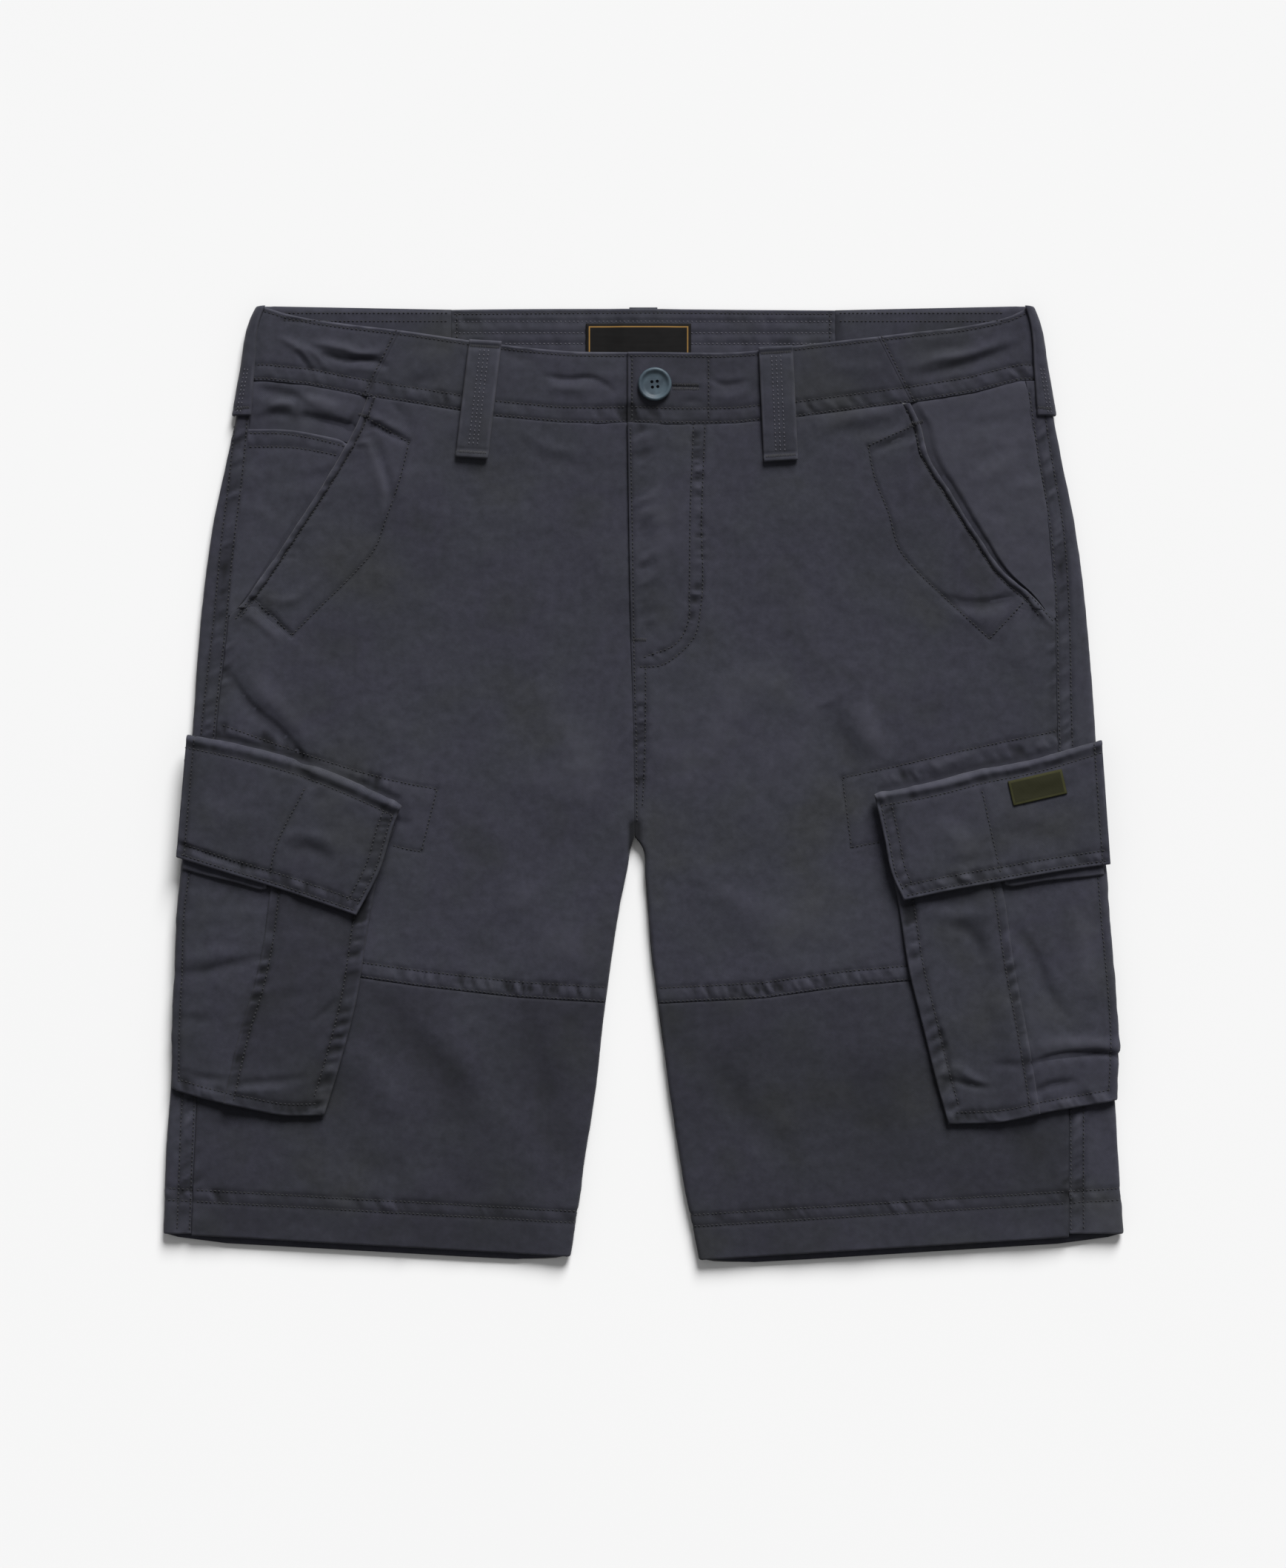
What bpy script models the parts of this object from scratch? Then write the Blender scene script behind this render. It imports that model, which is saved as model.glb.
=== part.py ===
"""Cargo shorts in cotton twill, laid flat on a table with the front up, one solid for each sewn piece.

Frame: +Z up from the table, +Y towards the waistband, +X towards the wearer's left. The origin is on the
table, under the middle of the garment. Sizes below are in millimetres, and each mesh is built in metres.

Each side of the garment has its own table of edges. In them w is the distance from the centre line,
positive outwards, and y runs up towards the waistband. A piece is a sheet: columns of points on its
outer face, thickened inwards by its wall.
"""

from collections import namedtuple
from math import ceil, cos, pi, radians, sin

import bmesh
import bpy
import numpy as np
from mathutils import Vector

MM = 0.001

# Cloth, and how high the layers lie
CLOTH = 1.1             # wall of the twill
GAP = 0.3               # between two pieces at a seam or lying on each other
LAID = 5.3              # outer face of the front above the table
BEND = LAID / 2         # outer radius of the folds down the sides and inner legs
BAND = 1.6              # wall of the waistband, two layers
HEM_WALL = 2.0          # wall of the turned-up hem
HEM_DEPTH = 26.0        # how far the hem is turned up
FACING_TOP = 2.5        # outer face of the hip facing where the front covers it
COIN_TOP = FACING_TOP + GAP + CLOTH
WELT_WIDTH = 5.0        # rolled edge of the hand pocket, along w
WELT_PROUD = 0.6        # how far it stands above the front

# Lifts, where more layers lie under a piece
LOOP_WALL = 1.0         # centre back belt loop, which lies on the table
LOOP_LIFT = LOOP_WALL + GAP
CENTRE_LIFT = 0.6       # of the front over that loop
LAP_LIFT = BAND + GAP   # of the left waistband over the end of the right one

# Belt loops that stand on the outside
STRAP = 1.5             # wall of a front belt loop
STRAP_BOW = 1.3         # how far it stands off in the middle
SIDE_STRAP = 1.25       # wall of a side belt loop
SIDE_STRAP_FRONT = 9.0  # how much of it lies on the front
SIDE_STRAP_GAP = 0.6    # how far it stands off the waistband

# Cargo pockets, heights above the table
GUSSET_WALL = 1.8
GUSSET_WIDTH = 11.0
GUSSET_INSET = 1.5
POCKET_TOP = 8.8        # outer face of the pocket at its edges
POCKET_CROWN = 1.6      # how much higher it is in the middle
PLEAT_LIFT = CLOTH + GAP
PLEAT_LAP = 8.0         # how far the outer half runs under the inner half
UNDERFLAP_TOP = 10.6
UNDERFLAP_WALL = 1.4
FLAP_TOP = 13.1
FLAP_WALL = 2.2
POCKET_MOUTH = 15.0     # from the flap's sewn edge to the pocket's open edge
TURN_DOWN = 3.2         # how far the pocket's outer side is turned down, and its width

LABEL_WALL = 0.7

# Seams on the centre line: x, y from the waistband to the crotch
FRONT_CENTRE = [(-9, 204.5), (-7, 81), (-5.5, 24), (-5, -30.5)]
BACK_CENTRE = [(0, 231), (0, 60), (-3, 0), (-5, -30.5)]
CROTCH_Y = -30.5
LAP_END = 15.0          # x where the right waistband ends, under the left one

BACK_BAND_TOP = [(-150, 268.5), (-60, 269.5), (0, 269.5), (60, 269), (150, 268.5)]
BACK_BAND_FOOT = 231.0
BACK_BAND_HALF = 109.0

Side = namedtuple("Side", "name sign fold seam opening inner_leg band_top slant waist knee hem facing "
                          "corner_y facing_rise pocket_outer pocket_inner pocket_foot pleat flap_top "
                          "flap_foot flap_inner")

# Each edge is a table with columns w, y. The slant is the waistband's slanted seam: its w at the top and
# at the foot. corner_y is the foot of the hand pocket's opening, and facing_rise how far the opening gapes.
RIGHT = Side(
    name="right", sign=-1,
    fold=[(218, 271), (221.5, 263.5), (227.5, 234), (233.5, 200.5), (244, 150), (251.5, 93), (255.5, 40),
          (258, 0), (262.5, -70), (268, -160), (270.5, -200), (272.5, -256)],
    seam=[(222, 228.5), (226, 180), (232, 130), (236, 88), (241, 45), (253.5, -177), (256.5, -256.5)],
    opening=[(157, 219.5), (161, 208.5), (182, 170), (198, 145.5), (213.5, 122), (225.5, 105), (235, 93)],
    inner_leg=[(5, -30.5), (8.5, -38), (13, -66.5), (21, -124), (27, -173), (33, -212), (41.5, -269)],
    band_top=[(9, 244.5), (39.5, 245), (81, 249), (138, 257), (171.5, 261), (199, 265.5), (218, 271)],
    slant=(138, 157),
    waist=[(9, 204.5), (28, 204), (48, 204.5), (85, 208), (128, 215), (157, 219.5), (190, 226), (214, 228.5),
           (231, 228.5)],
    knee=[(21, -125), (71, -122), (128, -115.5), (162.5, -110.5), (260, -97)],
    hem=[(41.5, -269), (272.5, -256)],
    facing=[(150, 217.5), (133.5, 192), (140, 166.5), (152.5, 133), (163, 120.5), (182, 101.5), (199.5, 84)],
    corner_y=93, facing_rise=0.6,
    pocket_outer=[(260.5, 16), (262.5, -52), (265, -70), (266.5, -108), (268, -138), (268.5, -173.5)],
    pocket_inner=[(140, -23), (149.5, -48.5), (155.5, -77.5), (163, -124.5), (174, -166), (181, -188.5)],
    pocket_foot=[(181, -188.5), (204.5, -188.5), (227.5, -184), (250, -179), (268.5, -173.5)],
    pleat=[(197, 0), (209, -40), (212, -65), (215, -89.5), (220.5, -115.5), (227.5, -138), (238, -182)],
    flap_top=[(136.5, -12), (162.5, 0), (194, 12.5), (229, 22), (258.5, 28)],
    flap_foot=[(162.5, -75), (185.5, -67), (211, -58.5), (236, -51), (264.5, -42)],
    flap_inner=[(136.5, -12), (141, -22.5), (149.5, -50), (162.5, -75)])

LEFT = Side(
    name="left", sign=1,
    fold=[(220, 271), (223, 263.5), (228.5, 234), (234.5, 200), (244, 152), (251.5, 95.5), (255.5, 45),
          (258, 0), (262, -70), (267, -160), (269.5, -207.5), (272.5, -256)],
    seam=[(217, 227), (223, 187), (230, 145), (233.5, 98), (234.5, 51), (241.5, -185), (241.5, -257)],
    opening=[(152, 216), (157, 205.5), (162.5, 185.5), (176, 164), (191.5, 139.5), (207.5, 117.5),
             (220, 107), (232, 92.5)],
    inner_leg=[(-5, -30.5), (-1.5, -35), (1, -55), (5.5, -104.5), (12, -157), (22, -222), (31.5, -271)],
    band_top=[(-9, 244.5), (64.5, 245.5), (84.5, 248), (149.5, 255.5), (191.5, 261), (212, 266.5),
              (220, 271)],
    slant=(133, 152),
    waist=[(-9, 204.5), (16, 203.5), (34, 203.5), (52, 204), (87.5, 207.5), (118, 211.5), (152, 216),
           (186.5, 221.5), (214, 228.5), (233, 228.5)],
    knee=[(8.5, -125.5), (67.5, -122.5), (113.5, -116), (151.5, -112.5), (258, -98)],
    hem=[(31.5, -271), (160, -263), (272.5, -256)],
    facing=[(146, 214), (126, 190.5), (131.5, 173), (146.5, 131), (154, 122), (170.5, 106), (196.5, 82)],
    corner_y=92.5, facing_rise=2.5,
    pocket_outer=[(259, 13), (262.5, -51), (264.5, -77), (267, -103), (270, -146.5), (268.5, -180)],
    pocket_inner=[(133.5, -17), (144.5, -68), (151, -108.5), (157.5, -134.5), (167, -172.5), (173, -193.5)],
    pocket_foot=[(173, -193.5), (205, -192), (226, -187.5), (268.5, -180)],
    pleat=[(194, -4), (202, -52.5), (203.5, -59.5), (210, -103), (217.5, -143), (225, -188)],
    flap_top=[(130.5, -5.5), (167, 1.5), (189.5, 7.5), (219, 13.5), (259.5, 25.5)],
    flap_foot=[(147.5, -66.5), (176, -60.5), (202, -56), (236.5, -50), (264.5, -46)],
    flap_inner=[(130.5, -5.5), (136.5, -31.5), (141, -52.5), (147.5, -66.5)])

SIDES = (RIGHT, LEFT)

FrontLoop = namedtuple("FrontLoop", "side w_top y_top w_foot y_foot width")
FRONT_LOOPS = [
    FrontLoop(RIGHT, 89.5, 251, 97.5, 183.5, 18.5),
    FrontLoop(LEFT, 75.0, 247.5, 78.0, 182, 19.5),
]
LOOP_RISES = [
    # share of the length, share of the bow
    (0.0, 0.0), (0.06, 0.5), (0.2, 1.0), (0.5, 1.2), (0.75, 0.9), (0.88, 0.35), (0.91, 0.7), (1.0, 0.6),
]
SIDE_LOOP_TOP = 271.0
SIDE_LOOP_FOOT = 208.5
BACK_LOOP_HALF = 8.0
BACK_LOOP_TOP = 270.5
BACK_LOOP_FOOT = 209.0
OVER_LOOP = (-22, -16, -10, 0, 10, 16, 22)      # x of the points where the back waistband bends over it

BUTTON = dict(x=6.5, y=226.0, radius=9.5, thick=2.8, rim=1.9, dish=1.3, hole_radius=0.9, hole_pitch=2.1)
WAIST_LABEL = dict(left=-32.5, right=27.0, top=261.0, foot=240.0)
FLAP_LABEL = dict(w=223.0, y=-2.5, width=31.0, height=14.0, tilt=13.0)
FLY_UNDERLAP = dict(left=-14, right=30, top=194, foot=64, foot_right=22)
FLY_ZIP = dict(left=-8, right=12, top=190, foot=72)
COIN_MOUTH = [(160, 190), (168.5, 193.5), (187.5, 198), (203, 200.5), (226, 201)]
COIN_BEHIND = 9         # how far the coin pocket runs behind the front

COLOURS = {
    "twill": (0.048, 0.050, 0.066),
    "button": (0.047, 0.082, 0.110),
    "waist_label": (0.012, 0.012, 0.012),
    "flap_label": (0.030, 0.033, 0.012),
    "zip": (0.030, 0.031, 0.038),
}


# ---- Working out points -------------------------------------------------------------------------

def smooth(rows, key, value):
    """The other column of a two-column table where column `key` is `value`, on a cubic through the rows."""
    rows = sorted(rows, key=lambda row: row[key])
    at = [row[key] for row in rows]
    to = [row[1 - key] for row in rows]
    slope = np.gradient(to, at) if len(rows) > 2 else [(to[1] - to[0]) / (at[1] - at[0])] * 2
    i = int(np.clip(np.searchsorted(at, value) - 1, 0, len(at) - 2))
    step = at[i + 1] - at[i]
    u = (value - at[i]) / step
    return ((2 * u**3 - 3 * u**2 + 1) * to[i] + (u**3 - 2 * u**2 + u) * step * slope[i]
            + (3 * u**2 - 2 * u**3) * to[i + 1] + (u**3 - u**2) * step * slope[i + 1])


def y_on(seam, w):
    """y of a seam that runs straight between the rows of its table."""
    return float(np.interp(w, [row[0] for row in seam], [row[1] for row in seam]))


def w_at(edge, y):
    return smooth(edge, 1, y)


def y_at(edge, w):
    return smooth(edge, 0, w)


def mix(a, b, share):
    return a + (b - a) * share


def ease(value, start, end):
    """0 before start, 1 after end, and a soft step between."""
    u = min(max((value - start) / (end - start), 0.0), 1.0)
    return u * u * (3 - 2 * u)


def patch(inner, outer, top, foot):
    """A surface in plan between four edges: point(s, t) with s from inner to outer, t from top to foot."""
    def point(s, t):
        straight_top = mix(np.array(inner(0)), np.array(outer(0)), s)
        straight_foot = mix(np.array(inner(1)), np.array(outer(1)), s)
        body = mix(np.array(inner(t)), np.array(outer(t)), s)
        return body + mix(np.array(top(s)) - straight_top, np.array(foot(s)) - straight_foot, t)
    return point


def upright(edge, y_top, y_foot, shift=0.0):
    """An edge that runs down the garment, as a function of t."""
    def at(t):
        y = mix(y_top, y_foot, t)
        return (w_at(edge, y) + shift, y)
    return at


def across(edge, w_inner, w_outer, shift=0.0, level=y_at):
    """An edge that runs across the garment, as a function of s."""
    def at(s):
        w = mix(w_inner, w_outer, s)
        return (w, level(edge, w) + shift)
    return at


def shares_at(seam, w_inner, w_outer):
    """Shares of the way from w_inner to w_outer: both ends, and each row of the seam between them."""
    inside = [(w - w_inner) / (w_outer - w_inner) for w, _ in seam]
    return [0.0] + [share for share in inside if 0.02 < share < 0.98] + [1.0]


def straight(a, b):
    return lambda u: (mix(a[0], b[0], u), mix(a[1], b[1], u))


def fold_share(y):
    """How far the inner edge is bent into the fold of the leg: none above the crotch, all below it."""
    return ease(-y, -CROTCH_Y, -CROTCH_Y + 14)


QUARTER = BEND * radians(83)    # cloth in the bend from its flat part to the seam at half height
BEND_ARCS = (0.0, QUARTER / 3, QUARTER * 2 / 3)


def inner_bend(side, edge_w, y, arc, lay):
    """A point on the inner edge of a leg, `arc` along the cloth from its seam; lay is 1 front, -1 back."""
    angle = (QUARTER - arc) / BEND
    bent = np.array((edge_w + BEND - BEND * sin(angle), BEND + lay * BEND * cos(angle)))
    flat = np.array((edge_w + GAP / 2 + arc, LAID if lay > 0 else 0.0))
    w, z = mix(flat, bent, fold_share(y))
    return (w, y, z)


def outer_bend(w, y, degrees, radius=BEND):
    """A point on the side fold whose outermost line is at w; 0 degrees is under it, 180 on top."""
    angle = radians(degrees)
    return (w - BEND + radius * sin(angle), y, BEND - radius * cos(angle))


def centre_edge(side, table, y):
    """w of the centre seam above the crotch and of the inner leg below it."""
    if y >= CROTCH_Y:
        return side.sign * smooth(table, 1, y)
    return w_at(side.inner_leg, y)


# ---- Heights ------------------------------------------------------------------------------------

def back_lift(x, y):
    """Rise of the back and its waistband over the centre back belt loop."""
    near = BACK_LOOP_HALF + 2
    return LOOP_LIFT * (1 - ease(abs(x), near, near + 12)) * ease(y, BACK_LOOP_FOOT - 14, BACK_LOOP_FOOT - 2)


def band_lift(side, x):
    """Rise of the front waistband: over the back belt loop, and of its left half over its right half."""
    lift = CENTRE_LIFT * (1 - ease(abs(x), 22, 45))
    if side is LEFT:
        lift += LAP_LIFT * (1 - ease(x, LAP_END + 2, LAP_END + 32))
    return lift


def front_lift(side, x, y):
    """Rise of the front below the waistband, which dies out down the fly."""
    return band_lift(side, x) * ease(y, 14, 165)


FACING_STOPS = (0.04, 0.2, 0.4, 0.7, 1.0)     # shares of the way from the opening to the side seam


def facing_rise(side, beyond, t):
    """Rise of the hip facing from under the front towards the side seam and the waistband."""
    rise = mix(LAID - GAP - FACING_TOP, side.facing_rise, ease(t, 0.08, 0.19))
    return rise * ease(beyond, FACING_STOPS[0], FACING_STOPS[2])


def pocket_height(side, w, y):
    """Outer face of the pocket, crowned between its edges and below the flap."""
    inner = w_at(side.pocket_inner, y)
    outer = w_at(side.pocket_outer, y)
    span = min(max((w - inner) / (outer - inner), 0.0), 1.0)
    top = y_at(side.flap_foot, min(w, side.flap_foot[-1][0])) - 8
    foot = y_at(side.pocket_foot, w)
    drop = min(max((top - y) / (top - foot), 0.0), 1.0)
    return POCKET_TOP + POCKET_CROWN * sin(pi * span) * sin(pi * drop)


# ---- Building solids ----------------------------------------------------------------------------

def clear_scene():
    for old in list(bpy.data.objects):
        bpy.data.objects.remove(old, do_unlink=True)


def finish(name, material, roughness):
    """The Principled material of one piece."""
    made = bpy.data.materials.new(name)
    made.use_nodes = True
    shader = made.node_tree.nodes["Principled BSDF"]
    shader.inputs["Base Color"].default_value = (*COLOURS[material], 1.0)
    shader.inputs["Roughness"].default_value = roughness
    return made


def solid(name, work, material, roughness=0.85):
    """Makes a named object from a closed bmesh, shaded smooth except across its edges."""
    bmesh.ops.recalc_face_normals(work, faces=work.faces)
    mesh = bpy.data.meshes.new(name)
    work.to_mesh(mesh)
    work.free()
    mesh.shade_smooth()
    mesh.set_sharp_from_angle(angle=radians(35))
    mesh.materials.append(finish(name, material, roughness))
    piece = bpy.data.objects.new(name, mesh)
    bpy.context.scene.collection.objects.link(piece)
    return piece


def slopes(points):
    """Direction of a surface along the first axis of its grid, on a parabola through each three points."""
    step = np.diff(points, axis=0)
    length = np.linalg.norm(step, axis=2, keepdims=True)
    unit = step / length
    if len(unit) == 1:
        return np.repeat(unit, 2, axis=0)
    middle = (unit[:-1] * length[1:] + unit[1:] * length[:-1]) / (length[:-1] + length[1:])
    return np.concatenate([2 * unit[:1] - middle[:1], middle, 2 * unit[-1:] - middle[-1:]])


def sheet(name, side, columns, wall=CLOTH, face=1, material="twill"):
    """A piece of cloth from columns of (w, y, z) on its outer face, listed outwards from the centre line.

    `wall` is one thickness or one for each row. `face` is 1 where the outer face of the first columns
    looks up and -1 where it looks down at the table.
    """
    sign = side.sign if side else 1
    outer = np.array([[(sign * w, y, z) for w, y, z in column] for column in columns], float)
    count, rows = outer.shape[:2]
    along = slopes(outer)
    down = slopes(outer.swapaxes(0, 1)).swapaxes(0, 1)
    normal = -sign * face * np.cross(along, down)
    normal /= np.linalg.norm(normal, axis=2, keepdims=True)
    depth = np.broadcast_to(np.asarray(wall, float), (rows,))[None, :, None]
    inner = outer - normal * depth

    work = bmesh.new()
    front = [[work.verts.new(MM * point) for point in column] for column in outer]
    behind = [[work.verts.new(MM * point) for point in column] for column in inner]
    for i in range(count - 1):
        for j in range(rows - 1):
            for layer in (front, behind):
                work.faces.new((layer[i][j], layer[i][j + 1], layer[i + 1][j + 1], layer[i + 1][j]))
    rim = [(i, 0) for i in range(count)] + [(count - 1, j) for j in range(1, rows)]
    rim += [(i, rows - 1) for i in range(count - 2, -1, -1)] + [(0, j) for j in range(rows - 2, 0, -1)]
    for (i, j), (k, m) in zip(rim, rim[1:] + rim[:1]):
        work.faces.new((front[i][j], front[k][m], behind[k][m], behind[i][j]))
    return solid(name, work, material)


def rows_of(*stops, step=0.12):
    """Shares from 0 to 1 that include each stop, with no wider step than `step`."""
    shares = [0.0]
    for stop in [*stops, 1.0]:
        pieces = max(1, ceil((stop - shares[-1]) / step))
        start = shares[-1]
        shares += [mix(start, stop, k / pieces) for k in range(1, pieces + 1)]
    return shares


def hem_walls(ts, length):
    """Wall of each row of a panel that ends in the hem, `length` being the panel's length."""
    return [HEM_WALL if (1 - t) * length < HEM_DEPTH + 0.1 else CLOTH for t in ts]


# ---- Legs ---------------------------------------------------------------------------------------

FOLD_DEGREES = (0, 30, 60, 90, 120, 150, 180)


def back_panel(side):
    """The back of one leg: from the centre seam and inseam, flat on the table, round the side fold."""
    top, foot_out, foot_in = BACK_BAND_FOOT - GAP, side.hem[-1][1], side.hem[0][1]
    length = top - foot_out
    loop_foot = (top - BACK_LOOP_FOOT) / length
    crotch = (top - CROTCH_Y) / (top - foot_in)
    hem_at = 1 - HEM_DEPTH / length
    ts = rows_of(loop_foot, loop_foot + 0.03, crotch, crotch + 0.015, crotch + 0.03, hem_at - 0.004, hem_at,
                 step=0.11)

    def inner_y(t):
        return mix(top, foot_in, t)

    def outer_y(t):
        return mix(side.waist[-1][1] - GAP, foot_out, t)

    columns = []
    for arc in BEND_ARCS:
        columns.append([inner_bend(side, centre_edge(side, BACK_CENTRE, inner_y(t)), inner_y(t), arc, -1)
                        for t in ts])

    def inner(t):
        y = inner_y(t)
        return inner_bend(side, centre_edge(side, BACK_CENTRE, y), y, QUARTER, -1)[:2]

    def outer(t):
        y = outer_y(t)
        return (w_at(side.fold, y) - BEND, y)

    flat = patch(inner, outer, straight(inner(0), outer(0)), across(side.hem, inner(1)[0], outer(1)[0]))
    for s in (0.0, 0.025, 0.08, 0.35, 0.7):
        column = []
        for t in ts:
            w, y = flat(s, t)
            column.append((w, y, 0.0))
        columns.append(column)
    columns = [[(w, y, z + (back_lift(w, y) if y > CROTCH_Y else 0)) for w, y, z in column]
               for column in columns]
    for degrees in FOLD_DEGREES:
        columns.append([outer_bend(w_at(side.fold, outer_y(t)), outer_y(t), degrees) for t in ts])
    for inset in (1.5, 0.0):
        columns.append([(w_at(side.seam, outer_y(t)) + GAP / 2 + inset, outer_y(t), LAID) for t in ts])
    return sheet(f"back_panel_{side.name}", side, columns, hem_walls(ts, length), face=-1)


def front_outer_w(side, y):
    """Outer edge of the front: inside the rolled edge of the hand pocket, then along the side seam."""
    if y < side.corner_y:
        return w_at(side.seam, y) - GAP / 2
    inside = w_at(side.opening, y) - WELT_WIDTH - GAP
    return mix(w_at(side.seam, y) - GAP / 2, inside, ease(y, side.corner_y, side.corner_y + 12))


def front_panel(name, side, y_in, y_out, top, foot, ts, wall):
    """A front piece between two cross seams; y_in and y_out are (top, foot) at its inner and outer edge."""
    def inner_y(t):
        return mix(*y_in, t)

    def outer_y(t):
        return mix(*y_out, t)

    def inner(t):
        y = inner_y(t)
        return inner_bend(side, centre_edge(side, FRONT_CENTRE, y), y, QUARTER, 1)[:2]

    def outer(t):
        y = outer_y(t)
        return (front_outer_w(side, y), y)

    plan = patch(inner, outer, across(top, inner(0)[0], outer(0)[0], -GAP / 2, y_on),
                 across(foot, inner(1)[0], outer(1)[0], GAP / 2, y_on))
    columns = []
    for arc in BEND_ARCS:
        columns.append([inner_bend(side, centre_edge(side, FRONT_CENTRE, inner_y(t)), inner_y(t), arc, 1)
                        for t in ts])
    waist_inner = side.waist[0][0] + GAP / 2 + QUARTER
    for s in shares_at(side.waist, waist_inner, front_outer_w(side, side.opening[0][1])):
        columns.append([(*plan(s, t), LAID) for t in ts])
    lifted = [[(w, y, z + front_lift(side, side.sign * w, y)) for w, y, z in column] for column in columns]
    return sheet(name, side, lifted, wall)


def knee_levels(side):
    """y of the knee seam at the inner leg and at the side seam."""
    return side.knee[0][1], y_on(side.knee, w_at(side.seam, -100))


def upper_rows(side):
    """The rows of the front above the knee, and y of each at its inner and outer edge."""
    knee_in, knee_out = knee_levels(side)
    y_in = (side.waist[0][1] - GAP / 2, knee_in + GAP / 2)
    y_out = (side.opening[0][1] - GAP / 2, knee_out + GAP / 2)
    crotch = (y_in[0] - CROTCH_Y) / (y_in[0] - y_in[1])
    corner = (y_out[0] - side.corner_y) / (y_out[0] - y_out[1])
    return rows_of(corner - 0.04, corner, crotch, crotch + 0.02, crotch + 0.045, step=0.1), y_in, y_out


def front_upper(side):
    ts, y_in, y_out = upper_rows(side)
    return front_panel(f"front_upper_{side.name}", side, y_in, y_out, side.waist, side.knee, ts, CLOTH)


def front_lower(side):
    knee_in, knee_out = knee_levels(side)
    y_in = (knee_in - GAP / 2, side.hem[0][1])
    y_out = (knee_out - GAP / 2, side.hem[-1][1])
    hem_at = 1 - HEM_DEPTH / (y_out[0] - y_out[1])
    ts = rows_of(hem_at - 0.01, hem_at, step=0.21)
    hem = [(w, y - GAP / 2) for w, y in side.hem]
    return front_panel(f"front_lower_{side.name}", side, y_in, y_out, side.knee, hem, ts,
                       hem_walls(ts, y_out[0] - y_out[1]))


# ---- Hand pockets -------------------------------------------------------------------------------

def beyond_opening(side, beyond, y):
    """w at a share of the way from the pocket's opening to the side seam."""
    return mix(w_at(side.opening, y), w_at(side.seam, y) - 2 * GAP, beyond)


def hip_facing(side):
    """The cloth behind the hand pocket's opening, up to the waistband and the side seam."""
    ts = rows_of(0.08, 0.19, step=0.14)
    top_in, foot_in = side.facing[0][1], side.facing[-1][1]
    foot = side.corner_y + 1
    columns = []
    for s in (0.0, 0.5):
        column = []
        for t in ts:
            y = mix(top_in, foot_in, t)
            level = mix(y, mix(side.opening[0][1], foot, t), s)
            near_opening = w_at(side.opening, max(level, side.corner_y)) - 2
            column.append((mix(w_at(side.facing, y), near_opening, s), level, FACING_TOP))
        columns.append(column)
    for beyond in FACING_STOPS:
        column = []
        top = y_on(side.waist, beyond_opening(side, beyond, 218)) - 2 * GAP
        for t in ts:
            y = mix(top, foot, t)
            column.append((beyond_opening(side, beyond, y), y, FACING_TOP + facing_rise(side, beyond, t)))
        columns.append(column)
    return sheet(f"hip_facing_{side.name}", side, columns)


def pocket_welt(side):
    """The rolled edge along the hand pocket's opening, with its rows where the front has them."""
    ts, _, y_out = upper_rows(side)
    levels = [mix(*y_out, t) for t in ts]
    columns = []
    for share, height in ((0.0, 0.0), (0.5, WELT_PROUD), (1.0, 0.0)):
        column = []
        for y in levels:
            if y < side.corner_y + 6:
                break       # the rolled edge ends in the corner
            w = w_at(side.opening, y) - WELT_WIDTH * (1 - share)
            column.append((w, min(y, y_on(side.waist, w) - GAP), LAID + height))
        columns.append(column)
    return sheet(f"pocket_welt_{side.name}", side, columns)


def coin_pocket(side):
    """The coin pocket's cloth on the hip facing, from its rolled top edge down."""
    foot = side.corner_y + 12
    ts = rows_of(0.045, step=0.16)
    levels = [mix(COIN_MOUTH[0][1], foot, t) for t in ts]
    columns = [[(w_at(side.opening, y) - COIN_BEHIND, y, COIN_TOP) for y in levels]]
    for beyond in FACING_STOPS:
        top = y_at(COIN_MOUTH, beyond_opening(side, beyond, COIN_MOUTH[1][1]))
        height = COIN_TOP + facing_rise(side, beyond, 1.0)
        levels = [mix(top, foot, t) for t in ts]
        columns.append([(beyond_opening(side, beyond, y), y, height) for y in levels])
    return sheet("coin_pocket", side, columns)


# ---- Waistband ----------------------------------------------------------------------------------

def band_front(side, inner_w):
    """One front half of the waistband, from its end at the fly to the slanted seam."""
    outer_top, outer_foot = side.slant[0] - GAP, side.slant[1] - GAP
    inner = straight((inner_w, side.band_top[0][1]), (inner_w, side.waist[0][1] + GAP / 2))
    outer = straight((outer_top, y_at(side.band_top, outer_top)),
                     (outer_foot, y_on(side.waist, outer_foot) + GAP / 2))

    def top(s):
        w = mix(inner_w, outer_top, s)
        return (w, y_at(side.band_top, max(w, side.band_top[0][0])))

    plan = patch(inner, outer, top, across(side.waist, inner_w, outer_foot, GAP / 2, y_on))
    columns = []
    for s in shares_at(side.waist, inner_w, outer_foot):
        column = []
        for t in (0.0, 0.5, 1.0):
            w, y = plan(s, t)
            column.append((w, y, LAID + band_lift(side, side.sign * w)))
        columns.append(column)
    return sheet(f"waistband_front_{side.name}", side, columns, BAND)


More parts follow.
